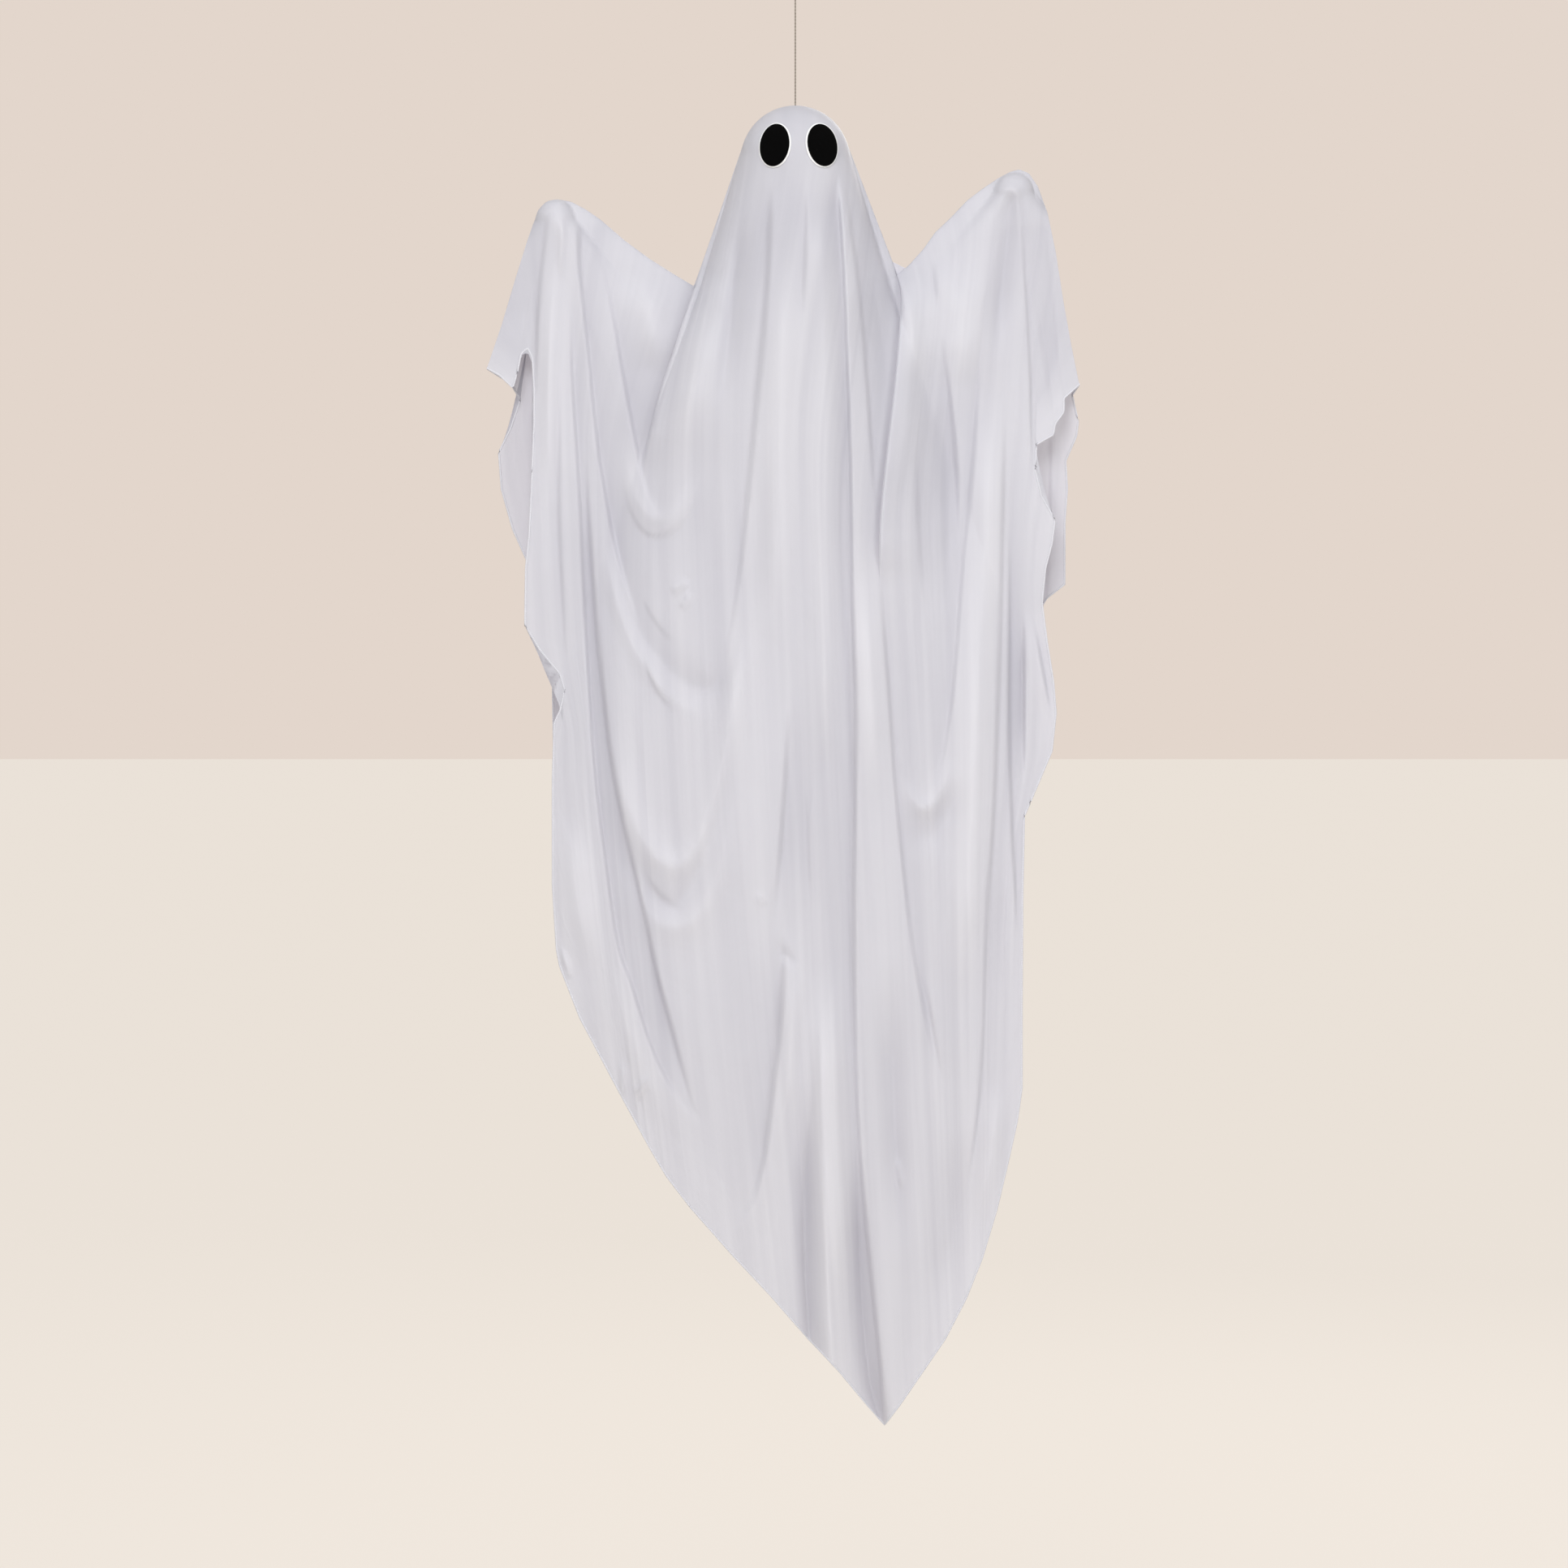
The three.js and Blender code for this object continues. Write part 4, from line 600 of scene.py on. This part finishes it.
def rows_down():
    """Shares of the way down, with the rows closest where the cloth turns over the head and the arms."""
    quarter = HEAD_R * math.pi / 2
    run = np.linspace(0, 1, ROWS + 1) * (quarter + FALL)
    over = HEAD_R * (1 - np.cos(np.minimum(run, quarter) / HEAD_R))
    fall = np.where(run < quarter, over, run - quarter + HEAD_R)
    return (fall / fall[-1])[:, None]


def flat_layer(name, share):
    """One face of a drape in the plane of the arms, as x and drop."""
    across = np.linspace(0, 1, COLUMNS[name] + 1)
    top, foot = at_share(CREST[name], across), at_share(HEM[name], across)
    sides = {"left": (np.array([CREST["left"][0], HEM["left"][0]]), SEAM["left"]),
             "middle": (SEAM["left"], SEAM["right"]),
             "right": (SEAM["right"], np.array([CREST["right"][-1], HEM["right"][-1]]))}[name]
    first, last = (at_share(line, share[:, 0])[:, None] for line in sides)
    across = across[None, :, None]
    ends = [first[0] * (1 - across[0]) + last[0] * across[0],
            sides[0][-1] * (1 - across[0]) + sides[1][-1] * across[0]]
    share = share[..., None]
    return first * (1 - across) + last * across + (1 - share) * (top - ends[0]) + share * (foot - ends[1])


def pulled_to_cuff(name, layer, share, line):
    """Moves the outer columns of an arm's drape onto the edge of its cuff."""
    across = np.linspace(0, 1, COLUMNS[name] + 1)
    edge = (1 - across if name == "left" else across)[None, :]
    move = at_share(line, share[:, 0]) - layer[:, 0 if name == "left" else -1]
    for i, power in enumerate(CUFF_PULL):
        layer[..., i] += move[:, i:i + 1] * edge ** power
    return layer


def stand_up(layer, depth, back):
    x, drop = layer[..., 0], layer[..., 1]
    return np.stack([x, depth if back else -depth, -drop], -1)


def drape(name):
    """One drape as a grid of points from the back hem over the crest to the front, and its painted shade."""
    faces, shade_amounts = [], []
    for back in (True, False):
        layer = flat_layer(name, rows_down() * (BACK_SHARE if back else 1.0))
        if name != "middle":
            layer = pulled_to_cuff(name, layer, rows_down(), (BACK_EDGE if back else FRONT_EDGE)[name])
        x, drop = layer[..., 0], layer[..., 1]
        depth = rest_depth(x, drop, back)
        shade_amount = painted_fold_shade(MIRRORED * x if back else x, drop)
        # The inside of each cuff, on the back drape of an arm, gets painted shade
        if back and name != "middle":
            shade_amount = shade_amount + INSIDE_CUFF_SHADE[name] * smooth((CUFF_DROP - drop) / CUFF_FADE)
        for seam, over, under, inward in laps(back):
            if name == over:
                depth = depth + lapped(seam, x, drop, inward)
            # The drape under a lap gets a painted shadow of the upper drape along the seam
            if name == under:
                outside, share = at_seam(seam, x, drop, -inward, LAP_SHADE_FADE)
                shade_amount = shade_amount + share * np.exp(-outside / LAP_SHADE)
        faces.append(stand_up(layer, depth, back))
        shade_amounts.append(shade_amount)
    return tuple(np.concatenate([back[:0:-1], front]) for back, front in (faces, shade_amounts))


UNDER_COLUMNS = 16
UNDER_WIDTH = 60.0
UNDER_STOPS = 25.0
UNDER_TAPER = 0.97
UNDER_SINKS = 0.35
UNDER_GAPS = (0.6, 3.0)  # behind the drape above it at the seam, and further in


def under_lap(name, way, back):
    """The cloth that runs on under a lap, out of sight, from the seam to where it turns back."""
    line = at_share(SEAM[name], rows_down()[:, 0])
    count = int(np.searchsorted(line[:, 1], LAP_END[name] - UNDER_STOPS))
    line = line[:count]
    taper = (1 - smooth(np.linspace(0, 1, count)) * UNDER_TAPER)[:, None, None]
    across = np.linspace(0, 1, UNDER_COLUMNS + 1)[None, :, None]
    layer = line[:, None] + across * taper * UNDER_WIDTH * np.array(way)
    across = across[..., 0]
    depth = rest_depth(line[:, :1], line[:, 1:], back) * (1 - across * UNDER_SINKS) - UNDER_GAPS[0]
    above = rest_depth(layer[..., 0], layer[..., 1], back) - UNDER_GAPS[1] * np.minimum(1, across * 4)
    return stand_up(layer, np.maximum(np.minimum(depth, above), 0.5), back)


def clear_of_frame(grid):
    """Pushes the cloth out of the globe, the hands and the rods."""
    globe = np.array((0, 0, -HEAD_DROP))
    bones, rods = [(globe, globe, HEAD_R)], []
    for side in (-1, 1):
        x, drop = hand_spot(side)
        hand = np.array((x, 0, -drop))
        bones.append((hand, hand, HAND_R))
        rods.append((np.array((side * PIVOT_X, 0, -PIVOT_DROP)), hand, ROD_R))
    for start, end, radius in bones + rods:
        axis = end - start
        along = np.clip((grid - start) @ axis / max(axis @ axis, 1e-6), 0, 1)
        near = start + along[..., None] * axis
        away = grid - near
        far = np.sqrt((away * away).sum(-1))
        hit = far < radius
        grid[hit] = near[hit] + away[hit] / np.maximum(far[hit], 1e-6)[:, None] * radius
    return grid


def as_seen(grid):
    """Moves the front along its lines of sight, to where the picture shows it, and makes metres."""
    near = 1 + np.minimum(grid[..., 1], 0) / (CAMERA_DISTANCE * 1000)
    eye_x, eye_z = PICTURE_MIDDLE[0] * 1000, HORIZON_Z * 1000 + HANG
    x, z = eye_x + (grid[..., 0] - eye_x) * near, eye_z + (grid[..., 2] - eye_z) * near
    return (clear_of_frame(np.stack([x, grid[..., 1], z], -1)) - (0, 0, HANG)) / 1000


drapes, painted_shades = {}, {}
for name in ("left", "middle", "right"):
    grid, painted_shades[name] = drape(name)
    drapes[name] = as_seen(grid)
# The way that each hidden cloth runs on from its seam, at the front and at the back
UNDER_WAYS = {("left", False): (0.81, 0.59), ("left", True): (0.81, 0.59), ("right", True): (-0.73, 0.68),
              ("right", False): (0.9, 0.45)}
unders = {(name, back): as_seen(under_lap(name, way, back)) for (name, back), way in UNDER_WAYS.items()}
JOINED = 0.0004


def unit(vectors):
    return vectors / np.maximum(np.linalg.norm(vectors, axis=-1, keepdims=True), 1e-12)


def facing(grid):
    return unit(np.cross(np.gradient(grid, axis=0), np.gradient(grid, axis=1)))


outs = {name: facing(grid) for name, grid in drapes.items()}
for a, b in (("left", "middle"), ("middle", "right")):
    joined = np.linalg.norm(drapes[a][:, -1] - drapes[b][:, 0], axis=-1) < JOINED
    shared = unit(outs[a][:, -1] + outs[b][:, 0])
    outs[a][joined, -1] = shared[joined]
    outs[b][joined, 0] = shared[joined]


def sheet_material():
    # Thin satin polyester: plain white with a faint lavender cast, a soft gloss and a very fine weave. Some
    # light comes through the single layer.
    look = {"Sheen Weight": 0.1, "Specular IOR Level": 0.35}
    material, tree, shader, place = new_material("satin_polyester_cloth", look, "cloth")
    # The real thread spacing of about 0.2 mm is drawn at 0.9 mm, so that it shows
    threads = [add_node(tree, "TexWave", {"Vector": place, "Scale": 350.0, "Distortion": 0.6},
                        bands_direction=way).outputs["Fac"] for way in "XY"]
    weave = add_node(tree, "Math", {0: threads[0], 1: threads[1]}, operation="MULTIPLY")
    # Slubs in the thread, broad stripes, and fine pleats about 10 mm apart, all drawn out along the hang
    drawn_out = []
    for scale, detail in (((500.0, 9.0, 1.0), 3.0), ((34.0, 2.2, 1.0), 2.0), ((95.0, 2.0, 1.0), 2.0)):
        narrow = add_node(tree, "Mapping", {"Vector": place, "Scale": scale})
        noise = add_node(tree, "TexNoise", {"Vector": narrow, "Scale": 1.0, "Detail": detail})
        drawn_out.append(noise)
    slubs, stripes, pleats = drawn_out
    crush = add_node(tree, "TexNoise", {"Vector": place, "Scale": 22.0, "Detail": 4.0, "Roughness": 0.45,
                                        "Distortion": 0.4})
    # Painted shade: the cloth is drawn greyer in the low ground beside the folds, under the face, inside the
    # cuffs, along the lower drape at each lap and all over the hidden cloth
    painted_shade = add_node(tree, "Attribute", attribute_name="painted_shade")
    unshaded = add_node(tree, "MapRange", {"Value": painted_shade.outputs["Fac"], "From Min": -0.8,
                                             "From Max": 1.4, "To Min": 1.0, "To Max": 0.1})
    # Painted shade along the stripes and pleats: lighter and darker bands down the hang, in the colour
    stripe_pleat_shade_sum = add_node(tree, "Math", {0: stripes, 1: pleats}, operation="ADD")
    painted_streak_shade = add_node(tree, "MapRange", {"Value": stripe_pleat_shade_sum, "From Min": 0.5, "From Max": 1.5,
                                         "To Min": -0.26, "To Max": 0.26})
    shaded_tone = add_node(tree, "Math", {0: unshaded, 1: painted_streak_shade}, operation="ADD", use_clamp=True)
    two_tones(shader, shaded_tone, "#BEBEC8", "#E3E3E9")
    roughen(shader, slubs, 0.45, 0.6)
    under = None
    for height, distance, strength in ((crush, 0.004, 0.2), (stripes, 0.006, 0.22), (pleats, 0.002, 0.18),
                                       (weave, 0.00012, 0.35), (slubs, 0.0001, 0.3)):
        under = dent(shader, height, distance, strength, under)
    through = add_node(tree, "BsdfTranslucent", {"Color": linear("#E4E1E8")})
    mixed = add_node(tree, "MixShader", {0: 0.22, 1: shader, 2: through})
    tree.links.new(mixed.outputs[0], tree.nodes["Material Output"].inputs["Surface"])
    return material


def grid_faces(rows, columns, start=0):
    index = np.arange(rows * columns).reshape(rows, columns) + start
    return np.stack([index[:-1, :-1], index[1:, :-1], index[1:, 1:], index[:-1, 1:]], -1).reshape(-1, 4)


def lay_uv(mesh, name, u, v):
    corner = np.empty(len(mesh.loops), int)
    mesh.loops.foreach_get("vertex_index", corner)
    layer = mesh.uv_layers.new(name=name)
    layer.data.foreach_set("uv", np.stack([u[corner], v[corner]], -1).reshape(-1))


def cloth_piece(name, grids, material):
    """A single layer of cloth made of grids, each with its facing directions and its painted shade."""
    points, faces, normals, shade_amounts, u, v, start = [], [], [], [], [], [], 0
    for grid, out, shade_amount in grids:
        rows, columns = grid.shape[:2]
        faces.append(grid_faces(rows, columns, start))
        start += rows * columns
        points.append(grid.reshape(-1, 3))
        normals.append(out.reshape(-1, 3))
        shade_amounts.append(np.broadcast_to(shade_amount, (rows, columns)).reshape(-1))
        across, down = lengths_along(grid[rows * 3 // 4]), lengths_along(grid[:, columns // 2])
        u.append(np.broadcast_to(across[None, :], (rows, columns)).reshape(-1))
        v.append(np.broadcast_to(down[:, None], (rows, columns)).reshape(-1))
    piece = new_piece(name, np.concatenate(points).tolist(), np.concatenate(faces).tolist(), material)
    lay_uv(piece.data, "cloth", np.concatenate(u), np.concatenate(v))
    painted_shade = piece.data.attributes.new("painted_shade", "FLOAT", "POINT")
    painted_shade.data.foreach_set("value", np.concatenate(shade_amounts))
    piece.data.normals_split_custom_set_from_vertices(np.concatenate(normals).tolist())
    return piece


def whole_drape(name):
    return drapes[name], outs[name], painted_shades[name]


# The hidden cloth under each lap is drawn with painted shade all over
def hidden(*key):
    return unders[key], facing(unders[key]), 1.0


satin = sheet_material()
left_grids = [whole_drape("left"), hidden("left", False), hidden("left", True)]
sheet_left = cloth_piece("sheet_left", left_grids, satin)
sheet_middle = cloth_piece("sheet_middle", [whole_drape("middle"), hidden("right", False)], satin)
sheet_right = cloth_piece("sheet_right", [whole_drape("right"), hidden("right", True)], satin)


# Hems
# The cloth's edge is turned over twice and run along with a close zigzag stitch, which makes a narrow,
# slightly thicker and whiter cord along every edge.
HEM_WIDTH = 0.0018
HEM_T = 0.0008
HEM_SIDES = 8


def hem_material():
    # Doubled satin polyester with a row of white stitches, 1.6 mm apart
    material, tree, shader, place = new_material("stitched_hem", uv_map="hem")
    stitch = add_node(tree, "TexWave", {"Vector": place, "Scale": 200.0, "Distortion": 1.2},
                      bands_direction="X")
    grain = add_node(tree, "TexNoise", {"Vector": place, "Scale": 900.0, "Detail": 2.0})
    two_tones(shader, stitch.outputs["Fac"], "#CFCFD7", "#DFDFE5")
    roughen(shader, grain, 0.5, 0.75)
    dent(shader, stitch.outputs["Fac"], 0.0004, 0.6)
    return material


def hem_piece(name, line, out, material):
    beside = unit(np.cross(unit(np.gradient(line, axis=0)), out))
    angles = 2 * math.pi * np.arange(HEM_SIDES) / HEM_SIDES
    sections = [[p + b * HEM_WIDTH / 2 * math.cos(a) + o * HEM_T / 2 * math.sin(a) for a in angles]
                for p, o, b in zip(line, out, beside)]
    piece = new_piece(name, *tube(list(line), sections), material)
    along = lengths_along(line)
    u = np.concatenate([np.repeat(along, HEM_SIDES), [along[0], along[-1]]])
    v = np.concatenate([np.tile(np.arange(HEM_SIDES) / HEM_SIDES * 0.008, len(line)), [0, 0]])
    lay_uv(piece.data, "hem", u, v)
    return piece


def edge_of(name, *parts):
    return [np.concatenate([grids[name][part] for part in parts]) for grids in (drapes, outs)]


stitched = hem_material()
hem_left = hem_piece("hem_left", *edge_of("left", np.s_[0, :0:-1], np.s_[:, 0], np.s_[-1, 1:]), stitched)
hem_right = hem_piece("hem_right", *edge_of("right", np.s_[0, :-1], np.s_[:, -1], np.s_[-1, -2::-1]),
                      stitched)
hem_front = hem_piece("hem_front", *edge_of("middle", np.s_[-1, :]), stitched)
hem_back = hem_piece("hem_back", *edge_of("middle", np.s_[0, :]), stitched)

for piece in (sheet_middle, hem_front, hem_back):
    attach(piece, "figure")
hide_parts("sheet_body")
for name, piece, hem in (("left", sheet_left, hem_left), ("right", sheet_right, hem_right)):
    for part in (piece, hem):
        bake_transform(part)
    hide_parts(f"sleeve_{name}")


# Eyes
# Two upright ovals of black felt, each glued on a slightly larger oval of white felt, which is glued to
# the sheet over the globe. Both follow the curve of the head.
EYE_HALF_WIDTH = 12.8
EYE_HALF_HEIGHT = 18.8
EYE_BORDER = 1.5
EYE_RINGS = 7
EYE_SIDES = 48
FELT_T = 1.0
GLUE_T = 0.1
EYES = {"left": (-18.2, 36.0, math.radians(10)), "right": (23.8, 36.0, math.radians(-13))}
FACE_ROWS = 70


def felt_material(name, dark, light):
    # Needled felt: very matt, with short fibres lying all ways
    material, tree, shader, place = new_material(name, {"Specular IOR Level": 0.05})
    # Fibres about 0.3 mm apart
    fibres = add_node(tree, "TexNoise", {"Vector": place, "Scale": 3000.0, "Detail": 5.0,
                                         "Roughness": 0.7, "Distortion": 1.5})
    tufts = add_node(tree, "TexNoise", {"Vector": place, "Scale": 350.0, "Detail": 2.0})
    mixed = add_node(tree, "Math", {0: fibres, 1: tufts}, operation="MULTIPLY")
    two_tones(shader, mixed, dark, light)
    roughen(shader, tufts, 0.9, 1.0)
    dent(shader, mixed, 0.0003, 0.6)
    return material


face = drapes["middle"][ROWS:ROWS + FACE_ROWS]
face_points = [Vector(p) for p in face.reshape(-1, 3)]
face_tree = BVHTree.FromPolygons(face_points, grid_faces(*face.shape[:2]).tolist())


def on_face(x, drop, out_by):
    """The place a little off the cloth where the picture shows it at x and drop."""
    shown = Vector((x, 0, -(HANG + drop))) / 1000
    spot = face_tree.ray_cast(camera.location, (shown - camera.location).normalized())[0]
    globe = Vector((0, 0, -(HANG + HEAD_DROP) / 1000))
    return spot + (spot - globe).normalized() * out_by / 1000


def eye_piece(name, eye, wider, inner, material):
    """An oval that lies on the cloth, with a slightly rounded edge."""
    x0, drop0, lean = eye
    steps = [k / EYE_RINGS for k in range(1, EYE_RINGS)]
    profile = [(reach, 1.0) for reach in steps] + [(0.985, 0.97), (1.0, 0.7), (1.0, 0.2), (0.99, 0.0)]
    sections = []
    for reach, lift in profile + [(reach, 0.0) for reach in reversed(steps)]:
        ring = []
        for k in range(EYE_SIDES):
            angle = -2 * math.pi * k / EYE_SIDES
            u = (EYE_HALF_WIDTH + wider) * reach * math.cos(angle)
            v = (EYE_HALF_HEIGHT + wider) * reach * math.sin(angle)
            x = x0 + u * math.cos(lean) + v * math.sin(lean)
            drop = drop0 + u * math.sin(lean) - v * math.cos(lean)
            ring.append(on_face(x, drop, inner + FELT_T * lift))
        sections.append(ring)
    centres = [on_face(x0, drop0, inner + FELT_T), on_face(x0, drop0, inner)]
    return new_piece(name, *tube(centres, sections), material)


black_felt = felt_material("black_needled_felt", "#020202", "#0C0C0D")
white_felt = felt_material("white_needled_felt", "#F2F2F2", "#FFFFFF")
for side, eye in EYES.items():
    under = eye_piece(f"felt_eye_{side}_border", eye, EYE_BORDER, 1.5 * GLUE_T, white_felt)
    over = eye_piece(f"felt_eye_{side}", eye, 0.0, FELT_T + 2 * GLUE_T, black_felt)
    for piece, node, slot in ((under, f"eye_{side}_border", "white_felt"),
                              (over, f"eye_{side}", "black_felt")):
        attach(piece, "figure")
        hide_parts(node)


# Globe, neck, hub and sockets
# Two milky blow-moulded half shells make the lit head. The neck tube, the two hub plates and the arm
# sockets are moulded white ABS, fixed with small zinc-plated screws.
def moulded_material(name, dark, light, rough, grain=900.0, look=None):
    material, tree, shader, place = new_material(name, look)
    # Spark-eroded mould texture, about 1 mm from grain to grain
    eroded = add_node(tree, "TexNoise", {"Vector": place, "Scale": grain, "Detail": 3.0})
    flow = add_node(tree, "TexNoise", {"Vector": place, "Scale": 30.0, "Detail": 2.0})
    two_tones(shader, flow, dark, light)
    roughen(shader, eroded, rough - 0.08, rough + 0.08)
    dent(shader, eroded, 0.00015, 0.4)
    return material


milky = moulded_material("milky_polyethylene", "#EFEDE6", "#F6F5F0", 0.4, 300.0,
                         {"Subsurface Weight": 0.2, "Subsurface Radius": (0.004, 0.004, 0.004)})
white_abs = moulded_material("moulded_white_abs", "#DAD8D2", "#E4E2DD", 0.5)
black_abs = moulded_material("moulded_black_abs", "#18181A", "#222225", 0.5)
black_nylon = moulded_material("black_nylon_ring", "#101012", "#1C1C1E", 0.45)


def zinc_material():
    # Zinc-plated steel: bright, slightly blue, with fine drawing marks
    material, tree, shader, place = new_material("zinc_plated_steel", {"Metallic": 1.0})
    stretch = add_node(tree, "Mapping", {"Vector": place, "Scale": (2500.0, 2500.0, 300.0)})
    marks = add_node(tree, "TexNoise", {"Vector": stretch, "Scale": 1.0, "Detail": 3.0})
    bloom = add_node(tree, "TexNoise", {"Vector": place, "Scale": 250.0, "Detail": 2.0})
    two_tones(shader, bloom, "#A9ABAD", "#C4C7CA")
    roughen(shader, marks, 0.22, 0.42)
    dent(shader, marks, 0.00005, 0.4)
    return material


zinc = zinc_material()
finish_nodes(["head_upper_shell", "head_lower_shell"], milky)
finish_nodes(["neck_tube", "hub_front", "hub_back", "arm_left_socket", "arm_right_socket"], white_abs)
finish_nodes(["cord_crimp", "cord_washer", "neck_pin", "hub_screw_1", "hub_screw_2", "case_screw_1",
              "case_screw_2", "board_screw_1", "board_screw_2", "board_screw_3"], zinc)
for side in ("left", "right"):
    finish_nodes([f"arm_{side}_rod", f"arm_{side}_pivot_screw", f"arm_{side}_pivot_nut"], zinc)
    finish_nodes([f"arm_{side}_friction_ring"], black_nylon)


# Hands
# Balls of expanded polystyrene pushed on the ends of the steel rods. The beads show as fine cells.
def foam_material():
    material, tree, shader, place = new_material("expanded_polystyrene")
    # Beads about 3 mm across, drawn darker towards their edges as painted shade in the grooves between them
    beads_and_groove_shade = add_node(tree, "TexVoronoi", {"Vector": place, "Scale": 330.0})
    two_tones(shader, beads_and_groove_shade, "#F6F5F1", "#E6E4DE")
    roughen(shader, beads_and_groove_shade, 0.75, 0.95)
    dent(shader, beads_and_groove_shade, -0.0004, 0.7)
    return material


finish_nodes(["hand_left", "hand_right"], foam_material())


# Lamp board
# A round fibreglass board with white solder mask carries six clear 5 mm lamps, which light the globe.
def board_material():
    material, tree, shader, place = new_material("white_solder_mask")
    # Glass weave at 0.6 mm telegraphs through the mask
    weave = add_node(tree, "TexChecker", {"Vector": place, "Scale": 1600.0})
    stain = add_node(tree, "TexNoise", {"Vector": place, "Scale": 120.0, "Detail": 2.0})
    two_tones(shader, stain, "#DFE2DB", "#EBEDE8")
    roughen(shader, stain, 0.35, 0.5)
    dent(shader, weave.outputs["Fac"], 0.00004, 0.5)
    return material


def lamp_material():
    # Clear epoxy over a warm phosphor cup
    material, tree, shader, place = new_material("clear_epoxy_lamp", {"Coat Weight": 0.5, "IOR": 1.54})
    haze = add_node(tree, "TexNoise", {"Vector": place, "Scale": 500.0, "Detail": 2.0})
    two_tones(shader, haze, "#F3EFC8", "#EEF3F6")
    roughen(shader, haze, 0.05, 0.12)
    return material


finish_nodes(["led_board"], board_material())
finish_nodes([f"led_{i}" for i in range(1, 7)], lamp_material())


# Battery case
# A moulded case hangs under the hub with three AA cells side by side, a slide switch in front and a sliding
# door behind. Contacts and conical springs sit at the cells' ends, and two leads run up the neck.
def pvc_material(name, grain, dark, light, low, high, depth, look=None):
    material, tree, shader, place = new_material(name, look)
    scuff = add_node(tree, "TexNoise", {"Vector": place, "Scale": grain, "Detail": 3.0})
    two_tones(shader, scuff, dark, light)
    roughen(shader, scuff, low, high)
    dent(shader, scuff, depth, 0.4)
    return material


finish_nodes(["battery_case", "battery_door"], white_abs)
finish_nodes(["switch_body", "switch_slider"], black_abs)
# Shrunk PVC jacket, dark slate and glossy, without marks
jacket = pvc_material("shrunk_pvc_jacket", 220.0, "#323F4B", "#45566A", 0.25, 0.4, 0.0001,
                      {"Coat Weight": 0.3})
for i in range(1, 4):
    finish_nodes([f"cell_{i}"], jacket)
    finish_nodes([f"contact_plate_{i}", f"contact_spring_{i}"], zinc)
# Soft PVC insulation
for name, dark, light in (("red", "#98201B", "#B52A22"), ("black", "#111112", "#1C1C1D")):
    lead = pvc_material(f"{name}_pvc_lead", 700.0, dark, light, 0.4, 0.6, 0.00005)
    finish_nodes([f"lead_{name}"], lead)


# Room
# A plain pale floor well below the figure and a plain cream surround. A large soft lamp stands in front and
# above, a smaller one to the right, and one behind for the back.
FLOOR_Z = -1.85
FLOOR_HALF = 2500.0


def floor_material():
    # Smooth painted screed
    material, tree, shader, place = new_material("pale_painted_floor", {"Specular IOR Level": 0.1})
    cloud = add_node(tree, "TexNoise", {"Vector": place, "Scale": 0.5, "Detail": 3.0})
    two_tones(shader, cloud, "#EDE6DC", "#F2ECE3")
    roughen(shader, cloud, 0.7, 0.85)
    rays = add_node(tree, "LightPath")
    seen = add_node(tree, "Math", {0: rays.outputs["Is Camera Ray"], 1: 0.85}, operation="MULTIPLY")
    plain = add_node(tree, "Emission", {"Color": linear("#F2E9DF"), "Strength": 1.0})
    mixed = add_node(tree, "MixShader", {0: seen, 1: shader, 2: plain})
    tree.links.new(mixed.outputs[0], tree.nodes["Material Output"].inputs["Surface"])
    return material


floor_corners = ((-1, -1), (1, -1), (1, 1), (-1, 1))
floor_spots = [(x * FLOOR_HALF, y * FLOOR_HALF, FLOOR_Z) for x, y in floor_corners]
floor = new_piece("floor", floor_spots, [(0, 1, 2, 3)], floor_material())

world = bpy.data.worlds.new("studio")
bpy.context.scene.world = world
world.use_nodes = True
sky = world.node_tree
sky.nodes.clear()
rays = add_node(sky, "LightPath")
seen = add_node(sky, "Math", {0: rays.outputs["Is Camera Ray"], 1: rays.outputs["Is Glossy Ray"]},
                operation="MAXIMUM")
seen = add_node(sky, "Math", {0: seen, 1: rays.outputs["Is Transmission Ray"]}, operation="MAXIMUM")
wall = add_node(sky, "Background", {"Color": linear("#E3D6CC"), "Strength": 1.0})
fill = add_node(sky, "Background", {"Color": linear("#F4F5F7"), "Strength": 0.55})
surround = add_node(sky, "MixShader", {0: seen, 1: fill, 2: wall})
add_node(sky, "OutputWorld", {"Surface": surround})
AIM = Vector((0, 0, -0.7))


def soft_light(name, place, power, size):
    light = bpy.data.lights.new(name, "AREA")
    light.energy = power
    light.size = size
    lamp = bpy.data.objects.new(name, light)
    lamp.location = place
    lamp.rotation_euler = (AIM - Vector(place)).to_track_quat("-Z", "Y").to_euler()
    bpy.context.scene.collection.objects.link(lamp)


soft_light("key", (-0.5, -3.0, 1.25), 77.0, 1.8)
soft_light("side", (2.4, -2.2, 0.3), 17.0, 1.2)
soft_light("rear", (0.9, 3.0, 0.7), 40.0, 1.5)
